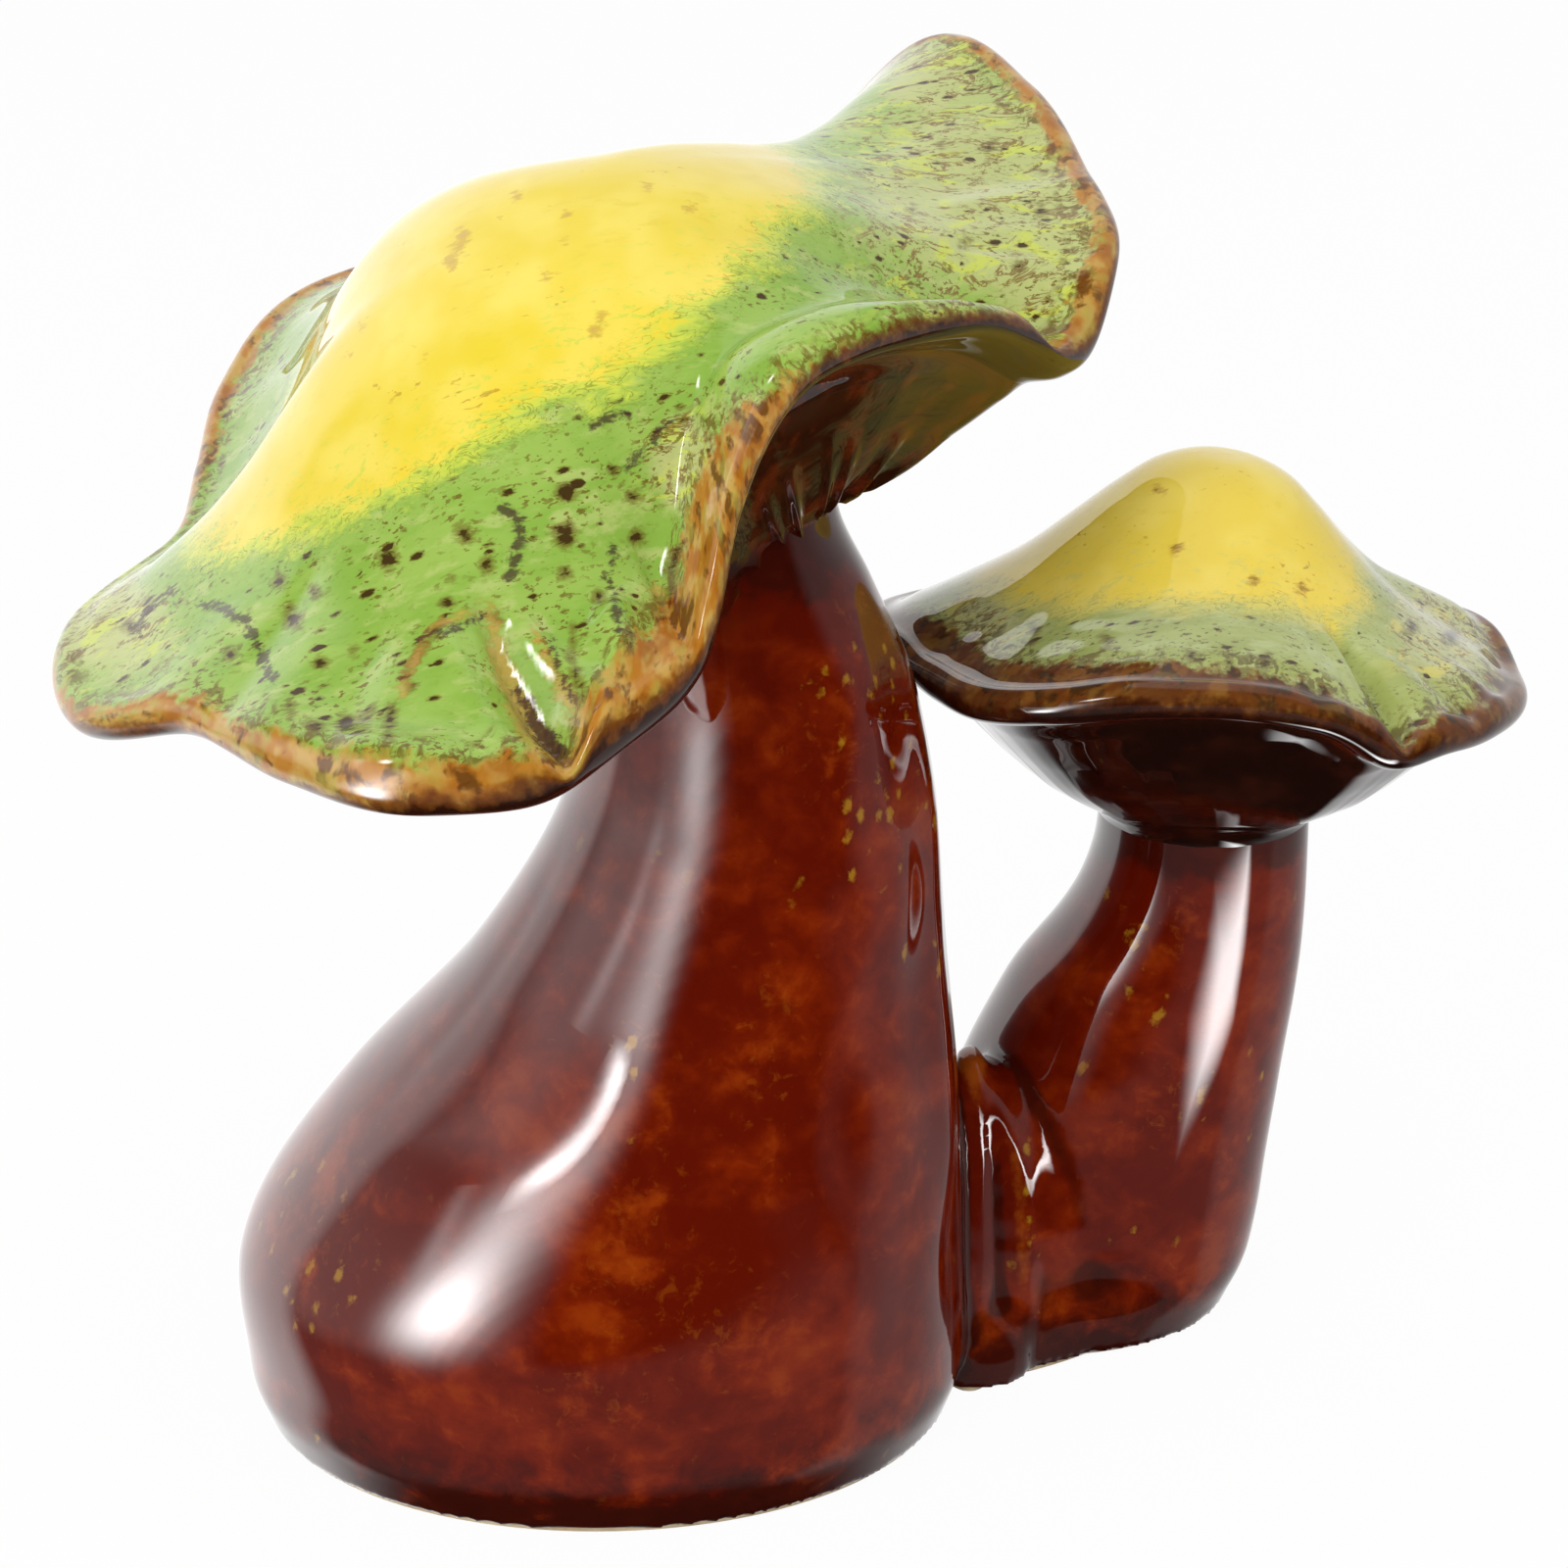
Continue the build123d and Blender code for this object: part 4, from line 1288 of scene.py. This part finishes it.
for crown, stains, veins, smears, pale in (
    (large_crown, large_stains, large_veins, large_smears, large_sheen_and_streaks),
    (small_crown, small_stains, small_veins, small_smears, small_sheen_and_streaks),
):
    keep_marks(crown, "stain", stains)
    keep_marks(crown, "vein", veins)
    keep_marks(crown, "smear", smears)
    # The pale patches hold a painted sheen, and also where strands and licks run
    keep_patches(crown, "pale", pale, 0.0)
keep_patches(root, "amber", amber_patches, 0.25)
keep_patches(root, "fleck", fleck_patches, 0.0)
dress(large_crown, crown_glaze("large crown glaze", large_tones, 7.0, 0.03, 3.6))
dress(small_crown, crown_glaze("small crown glaze", small_tones, 5.0, 0.02, 3.2))
dress(large_underside, under_glaze("large underside glaze", *large_under_tones))
dress(small_underside, under_glaze("small underside glaze", *small_under_tones))
dress(root, stem_glaze(stem_tones))
dress(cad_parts["foot_slab"], bisque())


def turned_to(centre, turn, lift, distance):
    """The place and the turn of a light that faces a centre, from its heading and its rise."""
    head = radians(turn)
    tilt = radians(lift)
    way = Vector((sin(head) * cos(tilt), -cos(head) * cos(tilt), sin(tilt)))
    return Vector(centre) + way * distance, way.to_track_quat("Z", "Y").to_euler()


def soft_light(name, centre, turn, lift, distance, width, height, power):
    """A softbox that lights the object, with its shine left to its mirror card."""
    light = bpy.data.lights.new(name, "AREA")
    light.shape = "RECTANGLE"
    light.size = width
    light.size_y = height
    light.energy = power
    lamp = bpy.data.objects.new(name, light)
    bpy.context.scene.collection.objects.link(lamp)
    lamp.location, lamp.rotation_euler = turned_to(centre, turn, lift, distance)
    lamp.visible_camera = False
    lamp.visible_glossy = False


def mirror_card(name, centre, turn, lift, distance, width, height, level, soft, cores, cut=None):
    """The lit face of a softbox as a glaze mirrors it, for shine alone.

    It has a level with a soft rim and brighter cores: each one's place across and along the card,
    half width, half height, lean and strength. A cut ends the light on the right, between two
    places across the card and with a lean.
    """
    place, facing = turned_to(centre, turn, lift, distance)
    select()
    bpy.ops.mesh.primitive_plane_add(size=1, location=place, rotation=facing)
    card = bpy.context.active_object
    card.name = name
    card.scale = (width, height, 1)
    card.visible_camera = False
    card.visible_diffuse = False
    card.visible_shadow = False
    card.visible_transmission = False
    face = Glaze(name)
    spread = face.node("ShaderNodeTexCoord", {}, {}, "UV")
    across = face.axis(spread, 0)
    along = face.axis(spread, 1)
    rim = face.least(face.least(across, 1 - across), face.least(along, 1 - along))
    light = face.step(rim, 0.0, soft) * level
    for middle, rise, wide, tall, lean, strength in cores:
        up = (along - rise) / tall
        side = (across - middle - (along - rise) * lean) / wide
        light = light + face.maths("EXPONENT", -1 * (side * side + up * up)) * strength
    if cut:
        low, high, lean = cut
        light = light * face.step(across - (along - 0.5) * lean, high, low)
    # The object sees the card's back, and only that side is lit
    lit_side = face.node("ShaderNodeNewGeometry", {}, {}, "Backfacing")
    face.glow_added(light * lit_side)
    dress(card, face.material)


def lay_floor():
    """The pale floor, which glows almost white to the camera and isn't mirrored."""
    select()
    bpy.ops.mesh.primitive_plane_add(size=6, location=(0, 0, 0))
    floor = bpy.context.active_object
    floor.name = "floor"
    floor.visible_glossy = False
    paint = Glaze("pale floor")
    paint.settle({"Base Color": tone(250, 250, 250), "Roughness": 0.9, "Specular IOR Level": 0.1})
    seen = paint.most(paint.seen_by("Is Camera Ray"), paint.seen_by("Is Transmission Ray"))
    seen = paint.most(seen, paint.seen_by("Is Glossy Ray"))
    paint.glow_through(seen * 0.96, 1.0)
    dress(floor, paint.material)


def surround():
    """White to the camera, grey as light, and brighter or darker by direction in the glaze."""
    sky = Surroundings("white surroundings")
    direct = sky.most(sky.seen_by("Is Camera Ray"), sky.seen_by("Is Transmission Ray"))
    heading = sky.node("ShaderNodeTexCoord", {}, {}, "Generated")
    to_right = sky.axis(heading, 0)
    to_back = sky.axis(heading, 1)
    rise = sky.axis(heading, 2)
    rear = sky.step(to_back + sky.least(to_right, 0.0) * 0.5, -0.42, -0.12)
    rear = rear * sky.most(1.15 - to_right * 0.85, 0.30) * (1 - sky.step(rise, 0.50, 0.85) * 0.4)
    table = sky.step(rise, -0.16, -0.30) * 0.20
    flank = sky.step(to_right, -0.45, -0.80) * sky.step(rise, 0.55, 0.20)
    flank = flank * sky.step(rise, -0.45, -0.10)
    mirrored = sky.most(sky.most(rear, table), flank * 0.75) * sky.step(rise, -0.90, -0.70) + 0.01
    indirect = sky.pick(sky.seen_by("Is Glossy Ray"), 0.58, mirrored)
    sky.wire_to("Strength", sky.pick(direct, indirect, 1.0))


def set_camera():
    """The camera of the photograph."""
    eye = bpy.data.cameras.new("camera")
    eye.sensor_fit = "HORIZONTAL"
    eye.angle = radians(eye_width)
    eye.clip_start = 0.01
    camera = bpy.data.objects.new("camera", eye)
    bpy.context.scene.collection.objects.link(camera)
    tilt = radians(eye_tilt)
    height = eye_centre + eye_reach * sin(tilt)
    camera.location = (0, -eye_reach * cos(tilt) * METRE, height * METRE)
    camera.rotation_euler = (radians(90) - tilt, 0, 0)
    bpy.context.scene.camera = camera
    bpy.context.scene.view_settings.view_transform = "Standard"


lay_floor()
surround()

# What the lights and the cards face, in metres, and their headings and rises, in degrees
centre = (0, 0, 0.06)
shoulder = (-0.0225, -0.0262, 0.0393)
bulb = (-0.028, -0.028, 0.032)
large_neck = (-0.012, -0.015, 0.078)
right_flank = (0.080, 0.0166, 0.0434)
soft_light("key softbox", centre, -34, 34, 0.75, 0.40, 0.40, 1.50)
soft_light("top softbox", centre, 12, 70, 0.80, 0.50, 0.50, 1.35)
soft_light("front reflector", centre, 8, 26, 0.75, 0.40, 0.30, 0.60)
upper_core = [(0.50, 0.50, 0.26, 0.30, 0.5, 24)]
lower_core = [(0.42, 0.42, 0.14, 0.16, 0.3, 24), (0.55, 0.66, 0.15, 0.24, 0.6, 8)]
side_core = [(0.22, 0.84, 0.08, 0.18, 0.0, 2.2)]
upper_cut = (0.80, 0.90, 0.5)
lower_cut = (0.84, 0.90, 0.5)
mirror_card(
    "key softbox face", shoulder, -37, 26, 1.60, 0.40, 0.34, 0.0, 0.1, upper_core, upper_cut
)
mirror_card("low softbox face", bulb, -42, 6, 0.085, 0.13, 0.13, 0.0, 0.1, lower_core, lower_cut)
mirror_card("side softbox face", centre, -44, 0, 0.60, 0.56, 0.46, 0.45, 0.35, side_core)
mirror_card("neck card face", large_neck, -68, 10, 0.10, 0.16, 0.06, 1.3, 0.5, [])
mirror_card("strip light face", right_flank, -15, -23, 0.037, 0.042, 0.036, 18.0, 0.4, [])
set_camera()
